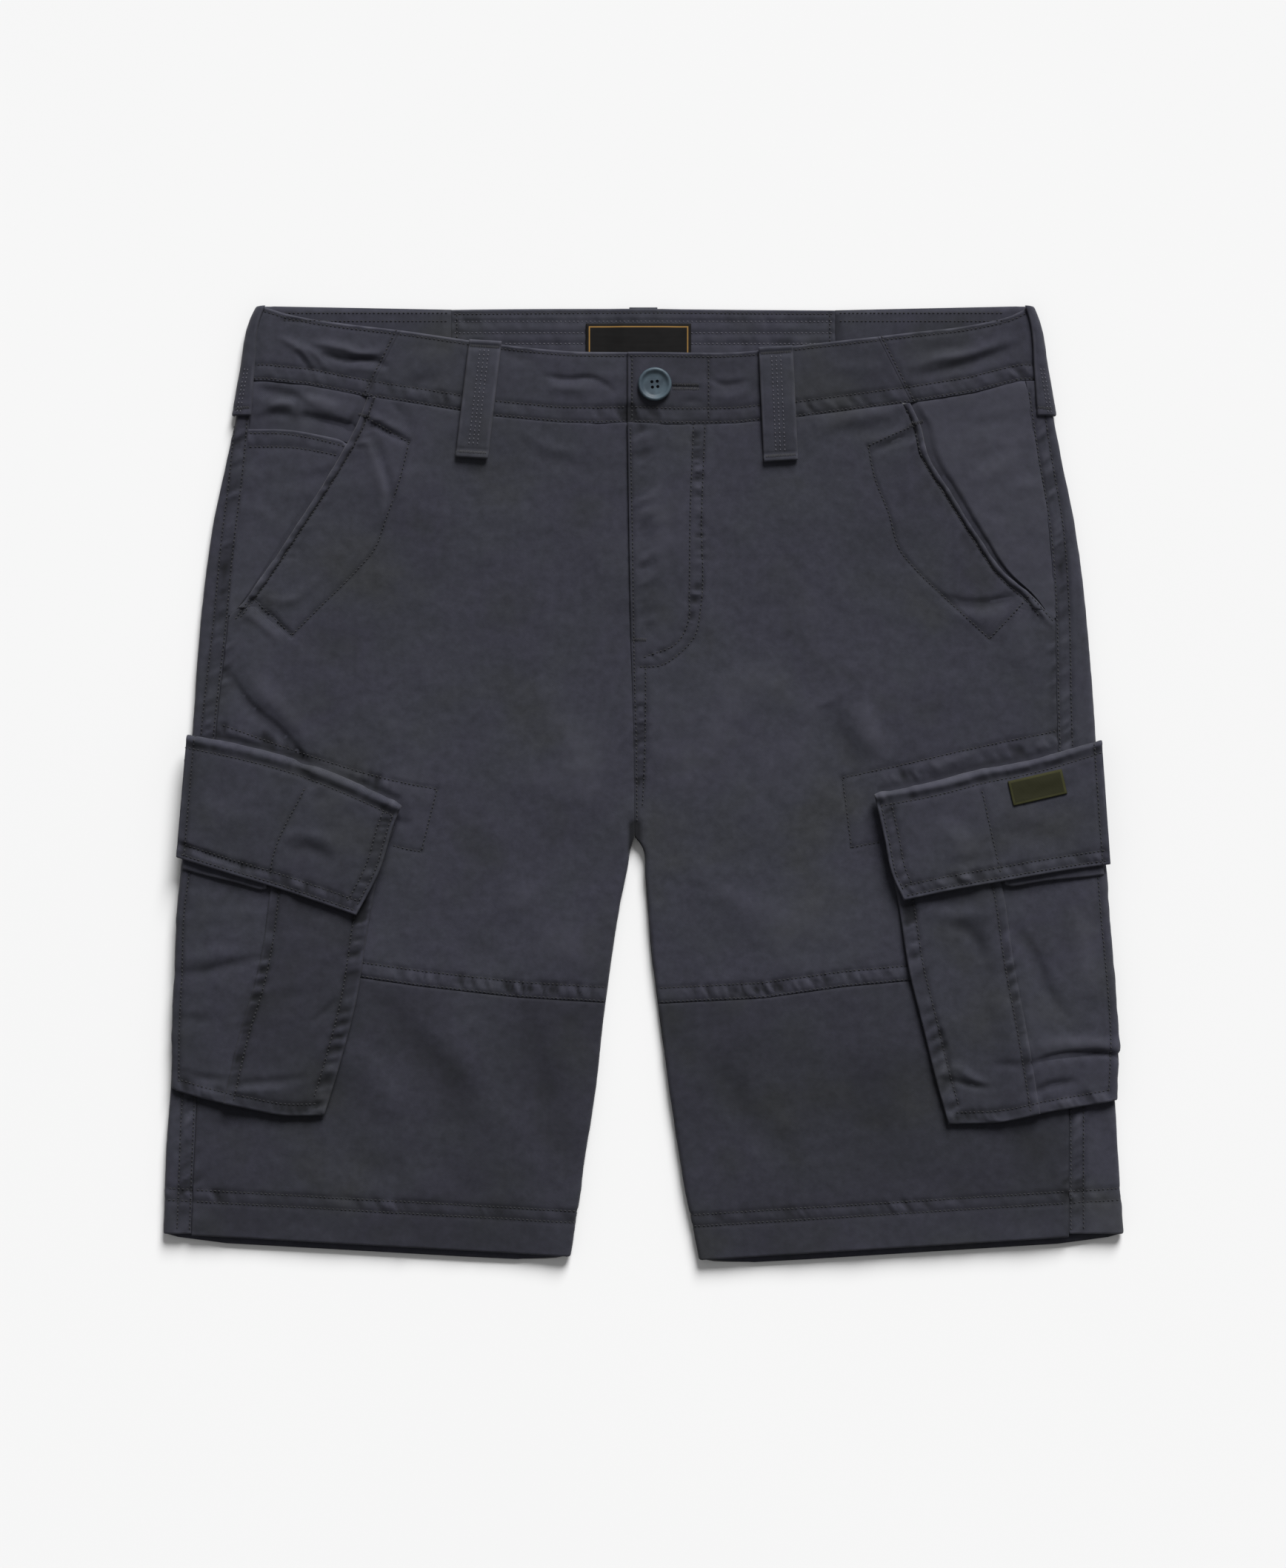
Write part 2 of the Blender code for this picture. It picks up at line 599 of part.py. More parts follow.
def band_side(side):
    """The side of the waistband: from the slanted seam round the fold and along the back."""
    ts = rows_of(step=0.17)
    top_y, foot_y = side.fold[0][1], side.waist[-1][1] + GAP / 2

    def edge_w(t):
        return w_at(side.fold, mix(top_y, foot_y, t))

    def fold_top(t):
        return (edge_w(t) - BEND, mix(top_y, foot_y, t))

    inner = straight((side.slant[0] + GAP, y_at(side.band_top, side.slant[0])),
                     (side.slant[1] + GAP, y_on(side.waist, side.slant[1]) + GAP / 2))
    plan = patch(inner, fold_top, across(side.band_top, inner(0)[0], fold_top(0)[0]),
                 across(side.waist, inner(1)[0], fold_top(1)[0], GAP / 2, y_on))
    shares = shares_at(side.waist, inner(1)[0], fold_top(1)[0])
    columns = [[(*plan(s, t), LAID) for t in ts] for s in shares[:-1]]
    for degrees in reversed(FOLD_DEGREES):
        columns.append([outer_bend(edge_w(t), mix(top_y, foot_y, t), degrees) for t in ts])
    back_w = BACK_BAND_HALF + GAP
    back = straight((back_w, smooth(BACK_BAND_TOP, 0, side.sign * back_w)), (back_w, BACK_BAND_FOOT))
    for share in (0.35, 0.7, 1.0):
        columns.append([(*mix(np.array(fold_top(t)), np.array(back(t)), share), 0.0) for t in ts])
    return sheet(f"waistband_side_{side.name}", side, columns, BAND)


def band_back():
    """The back of the waistband, its inner face up, raised over the centre back belt loop."""
    columns = []
    for x in (-BACK_BAND_HALF, -60, *OVER_LOOP, 60, BACK_BAND_HALF):
        top, height = smooth(BACK_BAND_TOP, 0, x), back_lift(x, BACK_BAND_FOOT)
        columns.append([(x, mix(top, BACK_BAND_FOOT, t), height) for t in (0.0, 0.5, 1.0)])
    return sheet("waistband_back", None, columns, BAND, face=-1)


def waist_label():
    """The label sewn inside the back of the waistband."""
    columns = []
    for x in (WAIST_LABEL["left"], *OVER_LOOP, WAIST_LABEL["right"]):
        height = BAND + GAP + LABEL_WALL + back_lift(x, BACK_BAND_FOOT)
        columns.append([(x, WAIST_LABEL["top"], height), (x, WAIST_LABEL["foot"], height)])
    return sheet("waist_label", None, columns, LABEL_WALL, material="waist_label")


# ---- Fly ----------------------------------------------------------------------------------------

def fly_underlap():
    """The strip behind the fly, carried by the right front."""
    size = FLY_UNDERLAP
    columns = []
    for share in (0.0, 0.5, 1.0):
        column = []
        for t in rows_of(step=0.25):
            right = mix(size["right"], size["foot_right"], ease(t, 0.75, 1.0))
            column.append((mix(size["left"], right, share), mix(size["top"], size["foot"], t), FACING_TOP))
        columns.append(column)
    return sheet("fly_underlap", None, columns)


def fly_zip():
    """The closed zip between the underlap and the left front, as one plain tape."""
    columns = [[(x, FLY_ZIP["top"], COIN_TOP), (x, FLY_ZIP["foot"], COIN_TOP)]
               for x in (FLY_ZIP["left"], FLY_ZIP["right"])]
    return sheet("fly_zip", None, columns, material="zip")


# ---- Belt loops ---------------------------------------------------------------------------------

def front_loop(loop):
    """A strap on the waistband, bowed off it in the middle and turned under at the foot."""
    low = LAID + GAP + STRAP
    columns = []
    for offset in (-0.5, 0.0, 0.5):
        column = []
        for share, rise in LOOP_RISES:
            w = mix(loop.w_top, loop.w_foot, share) + offset * loop.width
            y = mix(loop.y_top, loop.y_foot, share) + (w - loop.w_top) * 0.06
            column.append((w, y, low + STRAP_BOW * rise))
        columns.append(column)
    return sheet(f"belt_loop_front_{loop.side.name}", loop.side, columns, STRAP)


def side_loop(side):
    """A strap over the side fold, seen edge-on from the front."""
    radius = BEND + SIDE_STRAP_GAP + SIDE_STRAP
    levels = [mix(SIDE_LOOP_TOP, SIDE_LOOP_FOOT, t) for t in rows_of(step=0.12)]
    columns = []
    for inset in (SIDE_STRAP_FRONT, SIDE_STRAP_FRONT / 2):
        columns.append([(w_at(side.fold, y) - BEND - inset, y, BEND + radius) for y in levels])
    for degrees in (180, 150, 120, 90, 58):
        columns.append([outer_bend(w_at(side.fold, y), y, degrees, radius) for y in levels])
    return sheet(f"belt_loop_side_{side.name}", side, columns, SIDE_STRAP)


def back_loop():
    """The centre back strap, between the table and the back."""
    columns = [[(x, BACK_LOOP_TOP, LOOP_WALL), (x, BACK_LOOP_FOOT, LOOP_WALL)]
               for x in (-BACK_LOOP_HALF, BACK_LOOP_HALF)]
    return sheet("belt_loop_back", None, columns, LOOP_WALL)


# ---- Button -------------------------------------------------------------------------------------

def button():
    """A round button with a raised rim, a dished middle and four holes."""
    size = BUTTON
    r, high, rim = size["radius"], size["thick"], size["rim"]
    profile = [(0, 0), (r - 2.2, 0), (r - 0.4, 0.9), (r, 1.6), (r - 0.5, high - 0.3), (r - 1.1, high),
               (r - rim, high - 0.3), (r - rim - 1, size["dish"] + 0.2), (0, size["dish"])]
    work = bmesh.new()
    points = [work.verts.new((MM * radius, 0, MM * z)) for radius, z in profile]
    edges = [work.edges.new(pair) for pair in zip(points, points[1:])]
    bmesh.ops.spin(work, geom=points + edges, cent=(0, 0, 0), axis=(0, 0, 1), angle=2 * pi, steps=28)
    bmesh.ops.remove_doubles(work, verts=work.verts, dist=0.001 * MM)
    piece = solid("button", work, "button", 0.45)
    piece.location = MM * Vector((size["x"], size["y"], LAID + CENTRE_LIFT + LAP_LIFT + GAP))
    for dx, dy in ((-1, 0), (1, 0), (0, -1), (0, 1)):
        cut = piece.modifiers.new("hole", "BOOLEAN")
        cut.object = hole_cutter(piece, dx * size["hole_pitch"], dy * size["hole_pitch"])
        cut.operation = "DIFFERENCE"
    return piece


def hole_cutter(piece, dx, dy):
    """A pin through the button, at (dx, dy) from its middle, that the build leaves out."""
    work = bmesh.new()
    bmesh.ops.create_cone(work, cap_ends=True, segments=8, radius1=MM * BUTTON["hole_radius"],
                          radius2=MM * BUTTON["hole_radius"], depth=MM * (2 * BUTTON["thick"] + 2))
    cutter = solid("button_hole", work, "button")
    cutter.location = piece.location + MM * Vector((dx, dy, 0))
    cutter.hide_render = True
    cutter.display_type = "WIRE"
    return cutter


# ---- Cargo pockets ------------------------------------------------------------------------------

POCKET_ROWS = rows_of(0.25, 0.4, 0.6, 0.8, 0.93, step=0.3)


def mouth_y(side, w):
    """y of the pocket's open edge, under the flap."""
    return y_at(side.flap_top, w) - POCKET_MOUTH


def pleat_edge(side, shift=0.0):
    """The fold of the pleat from the mouth to the foot, moved sideways by `shift`."""
    top, foot = side.pleat[0][0], side.pleat[-1][0]
    return upright(side.pleat, mouth_y(side, top), y_at(side.pocket_foot, foot), shift)


def pocket_columns(side, inner, outer, spans, lift):
    """Columns of one half of the pocket's face, from its mouth to its foot."""
    def mouth(s):
        w = mix(inner(0)[0], outer(0)[0], s)
        return (w, mouth_y(side, w))

    plan = patch(inner, outer, mouth, across(side.pocket_foot, inner(1)[0], outer(1)[0]))
    columns = []
    for s in spans:
        column = []
        for t in POCKET_ROWS:
            w, y = plan(s, t)
            column.append((w, y, pocket_height(side, w, y) + lift(w, y)))
        columns.append(column)
    return columns


def cargo_inner(side):
    """The half towards the middle of the leg, its folded edge lying over the other half at the pleat."""
    def lift(w, y):
        return PLEAT_LIFT * ease(w - w_at(side.pleat, y), -22, -PLEAT_LAP - 1)

    inner = upright(side.pocket_inner, mouth_y(side, side.pocket_inner[0][0]), side.pocket_inner[-1][1])
    spans = (0.0, 0.3, 0.55, 0.68, 0.84, 1.0)
    return sheet(f"cargo_inner_{side.name}", side,
                 pocket_columns(side, inner, pleat_edge(side), spans, lift))


def cargo_outer(side):
    """The half towards the side fold, running under the pleat and turned down at the side."""
    def flat(w, y):
        return 0.0

    outer = upright(side.pocket_outer, mouth_y(side, side.pocket_outer[0][0]), side.pocket_outer[-1][1],
                    -TURN_DOWN)
    spans = (0.0, 0.25, 0.5, 0.75, 1.0)
    columns = pocket_columns(side, pleat_edge(side, -PLEAT_LAP), outer, spans, flat)
    for out, drop in ((0.5, 0.15), (0.88, 0.5), (1.0, 1.0)):
        edge = [outer(t) for t in POCKET_ROWS]
        columns.append([(w + TURN_DOWN * out, y, POCKET_TOP - TURN_DOWN * drop) for w, y in edge])
    return sheet(f"cargo_outer_{side.name}", side, columns)


def cargo_gusset(side):
    """The folded strip that joins the pocket to the leg along its inner edge and its foot."""
    top, corner, end = side.pocket_inner[1], side.pocket_inner[-1], side.pocket_foot[-1]
    near, far = GUSSET_INSET, GUSSET_INSET + GUSSET_WIDTH
    inner_edge = [(w_at(side.pocket_inner, y), y) for y in np.linspace(top[1], corner[1], 6)]
    foot_edge = [(w, y_at(side.pocket_foot, w)) for w in np.linspace(corner[0], end[0] - 4, 5)]
    columns = []
    for inset in (near, (near + far) / 2, far):
        column = [(w + inset, y) for w, y in inner_edge[:-1]]
        column.append((corner[0] + inset, corner[1] + inset))
        column += [(w, y + inset) for w, y in foot_edge[1:]]
        columns.append([(w, y, LAID + GAP + GUSSET_WALL) for w, y in column])
    return sheet(f"cargo_gusset_{side.name}", side, columns, GUSSET_WALL)


def cargo_flap(side):
    """The flap, sewn down along its top and standing over the pocket."""
    low = LAID + GAP + FLAP_WALL
    outer_edge = [side.flap_top[-1], side.flap_foot[-1]]
    inner = upright(side.flap_inner, side.flap_inner[0][1], side.flap_inner[-1][1])
    outer = upright(outer_edge, outer_edge[0][1], outer_edge[1][1])
    plan = patch(inner, outer, across(side.flap_top, inner(0)[0], outer(0)[0]),
                 across(side.flap_foot, inner(1)[0], outer(1)[0]))
    columns = []
    for s in (0.0, 0.2, 0.42, 0.6, 0.8, 0.95, 1.0):
        column = []
        for t in (0.0, 0.045, 0.09, 0.13, 0.42, 0.72, 1.0):
            column.append((*plan(s, t), mix(low, FLAP_TOP, ease(t, 0.0, 0.13))))
        columns.append(column)
    return sheet(f"cargo_flap_{side.name}", side, columns, FLAP_WALL)


def cargo_underflap(side):
    """The second layer under the flap's outer half, which shows below it."""
    start = w_at(side.pleat, y_at(side.flap_foot, side.pleat[2][0])) + 2
    end = side.flap_foot[-1][0] - 3.5
    columns = []
    for share in (0.0, 0.1, 0.35, 0.6, 0.85, 1.0):
        w = mix(start, end, share)
        foot = y_at(side.flap_foot, w)
        reach = 4.0 * ease(share, -0.1, 0.1) + 1.5 * ease(share, 0.3, 0.9)
        columns.append([(w, foot + 9, UNDERFLAP_TOP), (w, foot - reach / 2, UNDERFLAP_TOP),
                        (w, foot - reach, UNDERFLAP_TOP)])
    return sheet(f"cargo_underflap_{side.name}", side, columns, UNDERFLAP_WALL)


def flap_label():
    """The small woven label sewn on the left flap."""
    size = FLAP_LABEL
    turn = radians(size["tilt"])
    columns = []
    for u in (-0.5, 0.0, 0.5):
        column = []
        for v in (0.5, 0.0, -0.5):
            dx, dy = u * size["width"], v * size["height"]
            w = size["w"] + dx * cos(turn) - dy * sin(turn)
            y = size["y"] + dx * sin(turn) + dy * cos(turn)
            column.append((w, y, FLAP_TOP + GAP + LABEL_WALL))
        columns.append(column)
    return sheet("flap_label", LEFT, columns, LABEL_WALL, material="flap_label")


# ---- The whole garment --------------------------------------------------------------------------

def main():
    clear_scene()
    for side in SIDES:
        back_panel(side)
        front_upper(side)
        front_lower(side)
        hip_facing(side)
        pocket_welt(side)
        side_loop(side)
        cargo_gusset(side)
        cargo_outer(side)
        cargo_inner(side)
        cargo_underflap(side)
        cargo_flap(side)
        band_side(side)
    coin_pocket(RIGHT)
    band_front(RIGHT, -LAP_END)
    band_front(LEFT, LEFT.band_top[0][0])
    band_back()
    waist_label()
    fly_underlap()
    fly_zip()
    for loop in FRONT_LOOPS:
        front_loop(loop)
    back_loop()
    button()
    flap_label()


main()
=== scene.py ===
# %% [markdown]
# # Cargo shorts in cotton twill, laid flat
# The shorts lie on a table with their front up, and every sewn piece is its own sheet of cloth: panels,
# waistband, belt loops, pockets with their pleats and flaps, and the labels. One closed tube or one
# simulated cloth could stand for the garment, but it would lose the seams, which is where the eye looks.
# So each piece is a thin closed shell on the form of its solid, with its creases and puckers placed one
# by one, and the stitching is laid on top of the finished cloth.

# %% Load the frame and keep its box
from math import ceil, cos, pi, radians, sin
from types import SimpleNamespace

import bmesh
import bpy
import numpy as np
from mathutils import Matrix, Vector


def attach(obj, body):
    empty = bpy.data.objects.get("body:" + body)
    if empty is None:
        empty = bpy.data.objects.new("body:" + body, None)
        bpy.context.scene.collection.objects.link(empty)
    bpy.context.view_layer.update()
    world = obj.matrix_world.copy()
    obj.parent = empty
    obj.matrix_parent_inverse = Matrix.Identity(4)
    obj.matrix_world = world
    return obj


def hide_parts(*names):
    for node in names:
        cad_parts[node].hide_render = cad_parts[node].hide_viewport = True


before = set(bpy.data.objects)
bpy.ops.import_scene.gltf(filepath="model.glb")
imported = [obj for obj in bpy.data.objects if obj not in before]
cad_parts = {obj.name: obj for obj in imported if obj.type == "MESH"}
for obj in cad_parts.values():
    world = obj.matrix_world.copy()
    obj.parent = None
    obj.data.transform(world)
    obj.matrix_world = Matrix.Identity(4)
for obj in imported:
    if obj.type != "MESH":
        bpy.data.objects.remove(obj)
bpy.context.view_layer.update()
MM = 0.001              # shapes are worked out in millimetres and built in metres
print("nodes in the frame:", len(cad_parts))

# %% [markdown]
# ## Measures of the garment
# A tailor starts from a sheet of measures, and so does this script: how thick each layer is and at which
# height it lies above the table. They are the ones that the solids were built with, so that each piece of
# cloth falls exactly where its solid is.

# %% Thicknesses and heights, in millimetres
CLOTH = 1.1             # wall of the twill
GAP = 0.3               # between two pieces that touch
HALF = GAP / 2
LAID = 5.3              # outer face of the front above the table
BEND = LAID / 2         # outer radius of the folds down the sides and inner legs
BAND = 1.6              # wall of the waistband
HEM_WALL = 2.0          # wall of the turned-up hem
HEM_DEPTH = 26.0        # how far the hem is turned up
HEM_PEEP = 3.6          # how far the back's hem comes out below the front's, in its shade
FACING_TOP = 2.5        # face of the hip facing where the front covers it
COIN_TOP = FACING_TOP + GAP + CLOTH
WELT_WIDTH = 5.0        # rolled edge of the hand pocket
WELT_RISE = 0.9         # how far it stands up
WELT_TUCK = 0.6         # how far the front runs in under it
LOOP_WALL = 1.0         # centre back belt loop
CENTRE_LIFT = 0.6       # of the front waistband over it
LAP_LIFT = BAND + GAP   # of the left waistband over the end of the right one
LAP_END = 15.0          # x where the right waistband ends, under the left one
STRAP, STRAP_BOW = 1.5, 1.3             # a front belt loop's wall, and how far it bows
SIDE_STRAP, SIDE_STRAP_GAP = 1.25, 0.6  # a side belt loop's wall, and the space under it
GUSSET_WALL, GUSSET_WIDTH, GUSSET_INSET = 1.8, 11.0, 1.5    # folded strip round a cargo pocket
POCKET_TOP = 8.8        # face of a cargo pocket at its edges
POCKET_CROWN = 1.6      # and how much higher it is in the middle
PLEAT_LIFT, PLEAT_LAP = CLOTH + GAP, 8.0
POCKET_MOUTH = 15.0     # from the flap's sewn edge to the pocket's open edge
TURN_DOWN = 3.2         # how far the pocket's outer side is turned down
UNDERFLAP_TOP, UNDERFLAP_WALL = 10.6, 1.4
FLAP_TOP, FLAP_WALL = 13.1, 2.2
LABEL_WALL = 0.7
CROTCH_Y = -30.5
QUARTER = BEND * radians(83)            # cloth in the bend of an inner leg
print("heights, mm: front", LAID, "pocket", POCKET_TOP, "flap", FLAP_TOP)

# %% [markdown]
# ## The pattern: one table for each edge
# A pattern cutter draws each piece by its edges. Here an edge is a short table of points (w, y), where w
# is the distance from the centre line, positive outwards, and y runs up to the waistband. The same
# drawing then serves both sides of the garment, which differ a little because the cloth is worn and
# laid by hand.

# %% Edges of the wearer's right and left side


def points(text):
    """Points from their coordinates, written one after the other."""
    numbers = [float(word) for word in text.split()]
    return list(zip(numbers[::2], numbers[1::2]))


def pattern(name, **table):
    """One side of the garment, with the points of its edges."""
    return SimpleNamespace(name=name, **{key: points(value) if isinstance(value, str) else value
                                         for key, value in table.items()})


RIGHT = pattern(
    "right", sign=-1, slant=(138, 157), corner_y=93, facing_rise=0.6,
    fold="218 271  221.5 263.5  227.5 234  233.5 200.5  244 150  251.5 93  255.5 40  258 0  262.5 -70  "
         "268 -160  270.5 -200  272.5 -256",
    seam="222 228.5  226 180  232 130  236 88  241 45  253.5 -177  256.5 -256.5",
    opening="157 219.5  161 208.5  182 170  198 145.5  213.5 122  225.5 105  235 93",
    inner_leg="5 -30.5  7.4 -38  9.2 -50  12.8 -66.5  21 -124  27 -173  33 -212  41.5 -269",
    band_top="9 244.5  39.5 245  81 249  138 257  171.5 261  199 265.5  218 271",
    waist="9 204.5  28 204  48 204.5  85 208  128 215  157 219.5  190 226  214 228.5  231 228.5",
    knee="21 -125  71 -122  128 -115.5  162.5 -110.5  260 -97",
    hem="41.5 -269  272.5 -256",
    facing="150 217.5  133.5 192  140 166.5  152.5 133  163 120.5  182 101.5  199.5 84",
    pocket_outer="260.5 16  262.5 -52  265 -70  266.5 -108  268 -138  268.5 -173.5",
    pocket_inner="140 -23  149.5 -48.5  155.5 -77.5  163 -124.5  174 -166  181 -188.5",
    pocket_foot="181 -188.5  204.5 -188.5  227.5 -184  250 -179  268.5 -173.5",
    pleat="197 0  209 -40  212 -65  215 -89.5  220.5 -115.5  227.5 -138  238 -182",
    flap_top="136.5 -12  162.5 0  194 12.5  229 22  258.5 28",
    flap_foot="162.5 -75  185.5 -67  211 -58.5  236 -51  264.5 -42",
    flap_inner="136.5 -12  141 -22.5  149.5 -50  162.5 -75")

LEFT = pattern(
    "left", sign=1, slant=(133, 152), corner_y=92.5, facing_rise=2.5,
    fold="220 271  223 263.5  228.5 234  234.5 200  244 152  251.5 95.5  255.5 45  258 0  262 -70  "
         "267 -160  269.5 -207.5  272.5 -256",
    seam="217 227  223 187  230 145  233.5 98  234.5 51  241.5 -185  241.5 -257",
    opening="152 216  157 205.5  162.5 185.5  176 164  191.5 139.5  207.5 117.5  220 107  232 92.5",
    inner_leg="-5 -30.5  -1.5 -35  1 -55  5.5 -104.5  12 -157  22 -222  31.5 -271",
    band_top="-9 244.5  64.5 245.5  84.5 248  149.5 255.5  191.5 261  212 266.5  220 271",
    waist="-9 204.5  16 203.5  34 203.5  52 204  87.5 207.5  118 211.5  152 216  186.5 221.5  214 228.5  "
          "233 228.5",
    knee="8.5 -125.5  67.5 -122.5  113.5 -116  151.5 -112.5  258 -98",
    hem="31.5 -271  160 -263  272.5 -256",
    facing="146 214  126 190.5  131.5 173  146.5 131  154 122  170.5 106  196.5 82",
    pocket_outer="259 13  262.5 -51  264.5 -77  267 -103  270 -146.5  268.5 -180",
    pocket_inner="133.5 -17  144.5 -68  151 -108.5  157.5 -134.5  167 -172.5  173 -193.5",
    pocket_foot="173 -193.5  205 -192  226 -187.5  268.5 -180",
    pleat="194 -4  202 -52.5  203.5 -59.5  210 -103  217.5 -143  225 -188",
    flap_top="130.5 -5.5  167 1.5  189.5 7.5  219 13.5  259.5 25.5",
    flap_foot="147.5 -66.5  176 -60.5  202 -56  236.5 -50  264.5 -46",
    flap_inner="130.5 -5.5  136.5 -31.5  141 -52.5  147.5 -66.5")

FRONT_CENTRE = points("-9 204.5  -7 81  -5.5 24  -5 -30.5")      # x, y of the front's centre seam
BACK_CENTRE = points("0 231  0 60  -3 0  -5 -30.5")
BACK_BAND_TOP = points("-150 268.5  -60 269.5  0 269.5  60 269  150 268.5")
BACK_BAND_FOOT, BACK_BAND_HALF = 231.0, 109.0
SIDES = (RIGHT, LEFT)
print("hem to hem, mm:", RIGHT.hem[1][0] + LEFT.hem[-1][0])

# %% [markdown]
# ## From edges to points
# A cubic through each table gives a smooth edge. Four edges make a piece: the points between them are
# found by blending the two long edges, then correcting for the two short ones (a Coons patch). numpy does
# this for all points of a piece at once.

# %% Curves and patches


def smooth(rows, key, value):
    """The other column of a two-column table where column key is value, on a cubic through the rows."""
    rows = np.array(sorted(rows, key=lambda row: row[key]), float)
    at, to = rows[:, key], rows[:, 1 - key]
    slope = np.gradient(to, at) if len(rows) > 2 else np.full(2, (to[1] - to[0]) / (at[1] - at[0]))
    value = np.asarray(value, float)
    i = np.clip(np.searchsorted(at, value) - 1, 0, len(at) - 2)
    step = at[i + 1] - at[i]
    u = (value - at[i]) / step
    return ((2 * u**3 - 3 * u**2 + 1) * to[i] + (u**3 - 2 * u**2 + u) * step * slope[i]
            + (3 * u**2 - 2 * u**3) * to[i + 1] + (u**3 - u**2) * step * slope[i + 1])


def w_at(edge, y):
    return smooth(edge, 1, y)


def y_at(edge, w):
    return smooth(edge, 0, w)


def y_on(seam, w):
    """y of a seam that runs straight between the rows of its table."""
    return np.interp(w, *zip(*seam))


def mix(a, b, share):
    return a + (b - a) * share


def ease(value, start, end):
    """0 before start, 1 after end, and a soft step between."""
    u = np.clip((value - start) / (end - start), 0.0, 1.0)
    return u * u * (3 - 2 * u)


def join(*parts):
    """Points from their coordinates."""
    return np.stack(np.broadcast_arrays(*[np.asarray(part, float) for part in parts]), axis=-1)


def upright(edge, y_top, y_foot, shift=0.0):
    """An edge that runs down the garment, as a function of t."""
    return lambda t: join(w_at(edge, mix(y_top, y_foot, t)) + shift, mix(y_top, y_foot, t))


def across(edge, w_inner, w_outer, shift=0.0, level=y_at):
    """An edge that runs across the garment, as a function of s."""
    return lambda s: join(mix(w_inner, w_outer, s), level(edge, mix(w_inner, w_outer, s)) + shift)


def straight(a, b):
    return lambda u: join(mix(a[0], b[0], u), mix(a[1], b[1], u))


def patch(inner, outer, top, foot, s, t):
    """Points (w, y) between four edges, at shares s from inner to outer and t from top to foot."""
    one, s, t = np.zeros(1), np.asarray(s, float), np.asarray(t, float)
    body = mix(inner(t)[None], outer(t)[None], s[:, None, None])
    top_line = mix(inner(one), outer(one), s[:, None])
    foot_line = mix(inner(one + 1), outer(one + 1), s[:, None])
    return body + mix((top(s) - top_line)[:, None], (foot(s) - foot_line)[:, None], t[None, :, None])


def lines(length, cell, start=True, end=True):
    """Shares of a length, one cell apart, and closer together at its edges, where cloth rolls over."""
    near = np.array([0.35, 0.75, 1.3, 2.1])
    first = np.concatenate([[0], near]) if start else np.zeros(1)
    last = np.concatenate([length - near[::-1], [length]]) if end else np.array([length])
    middle = np.linspace(first[-1], last[0], max(2, ceil((last[0] - first[-1]) / cell) + 1))
    return np.concatenate([first, middle[1:-1], last]) / length


def run_along(line):
    """For each point of a line, how far along it is."""
    return np.concatenate([[0], np.cumsum(np.linalg.norm(np.diff(line, axis=0), axis=1))])


def curve(line, step=3.0):
    """A smooth line through a few points, as points one step apart."""
    line = np.array(points(line) if isinstance(line, str) else line, float)
    run = run_along(line)
    at = np.linspace(0, run[-1], max(2, ceil(run[-1] / step) + 1))
    return np.stack([smooth(list(zip(run, line[:, k])), 0, at) for k in (0, 1)], axis=1)


def beside(line, distance):
    """The line at a distance from a line: outwards of one that runs down, above one that runs outwards."""
    line = np.asarray(line, float)
    along = np.gradient(line, axis=0)
    along /= np.linalg.norm(along, axis=1, keepdims=True)
    return line + distance * np.stack((-along[:, 1], along[:, 0]), axis=1)


for side in SIDES:      # where the side seam runs at the knee and at the hem
    side.w_knee, side.w_hem = float(w_at(side.seam, -100)), float(w_at(side.seam, -240))
print("w of the side seam at the knee, mm:", round(RIGHT.w_knee, 1))

# %% [markdown]
# ## Creases, puckers and rumples
# Worn cotton is never flat: drag lines run from the corners of pockets, seams pucker because thread
# shrinks less than cloth, and the whole surface is softly rumpled. A cloth simulation would invent its
# own folds, so here each crease is a line given with a width and a height, steeper on one side.
# Puckers are ripples along a seam, and rumples are smooth noise from seeded numbers, so that every run
# gives the same cloth.

# %% Relief, in millimetres


def nearest(x, y, line, reach):
    """For the points within reach of a line: which they are, how far away (+ on its left) and along."""
    line = np.asarray(line, float)
    low, high = line.min(axis=0) - reach, line.max(axis=0) + reach
    here = (x > low[0]) & (x < high[0]) & (y > low[1]) & (y < high[1])
    px, py = x[here], y[here]
    away, along, run = np.full(px.shape, 1e6), np.zeros(px.shape), 0.0
    for (ax, ay), (bx, by) in zip(line, line[1:]):
        dx, dy = bx - ax, by - ay
        length = np.hypot(dx, dy)
        u = np.clip(((px - ax) * dx + (py - ay) * dy) / length**2, 0, 1)
        qx, qy = px - ax - u * dx, py - ay - u * dy
        far = np.hypot(qx, qy)
        closer = far < np.abs(away)
        away[closer] = (far * np.where(dx * qy - dy * qx < 0, -1, 1))[closer]
        along[closer] = (run + u * length)[closer]
        run += length
    return here, away, along, run


def rumple(x, y, cell, seed):
    """Smooth unevenness from -1 to 1, its bumps about one cell apart."""
    size = 97
    lattice = np.random.default_rng(seed).uniform(-1, 1, (size, size))
    u, v = x / cell + 500, y / cell + 500
    i, j = np.floor(u).astype(int), np.floor(v).astype(int)
    rows = [mix(lattice[i % size, k % size], lattice[(i + 1) % size, k % size], ease(u - i, 0, 1))
            for k in (j, j + 1)]
    return mix(*rows, ease(v - j, 0, 1))


def crease(x, y, line, width, height, lean=0.0):
    """One crease, which fades at its ends. Lean makes its left side steeper and its right side softer."""
    made = np.zeros(x.shape)
    here, away, along, run = nearest(x, y, curve(line), 3 * width)
    wide = width * (1 - lean * np.sign(away))
    made[here] = height * np.sin(pi * np.clip(along / run, 0, 1))**0.6 * np.exp(-(away / wide)**2)
    return made


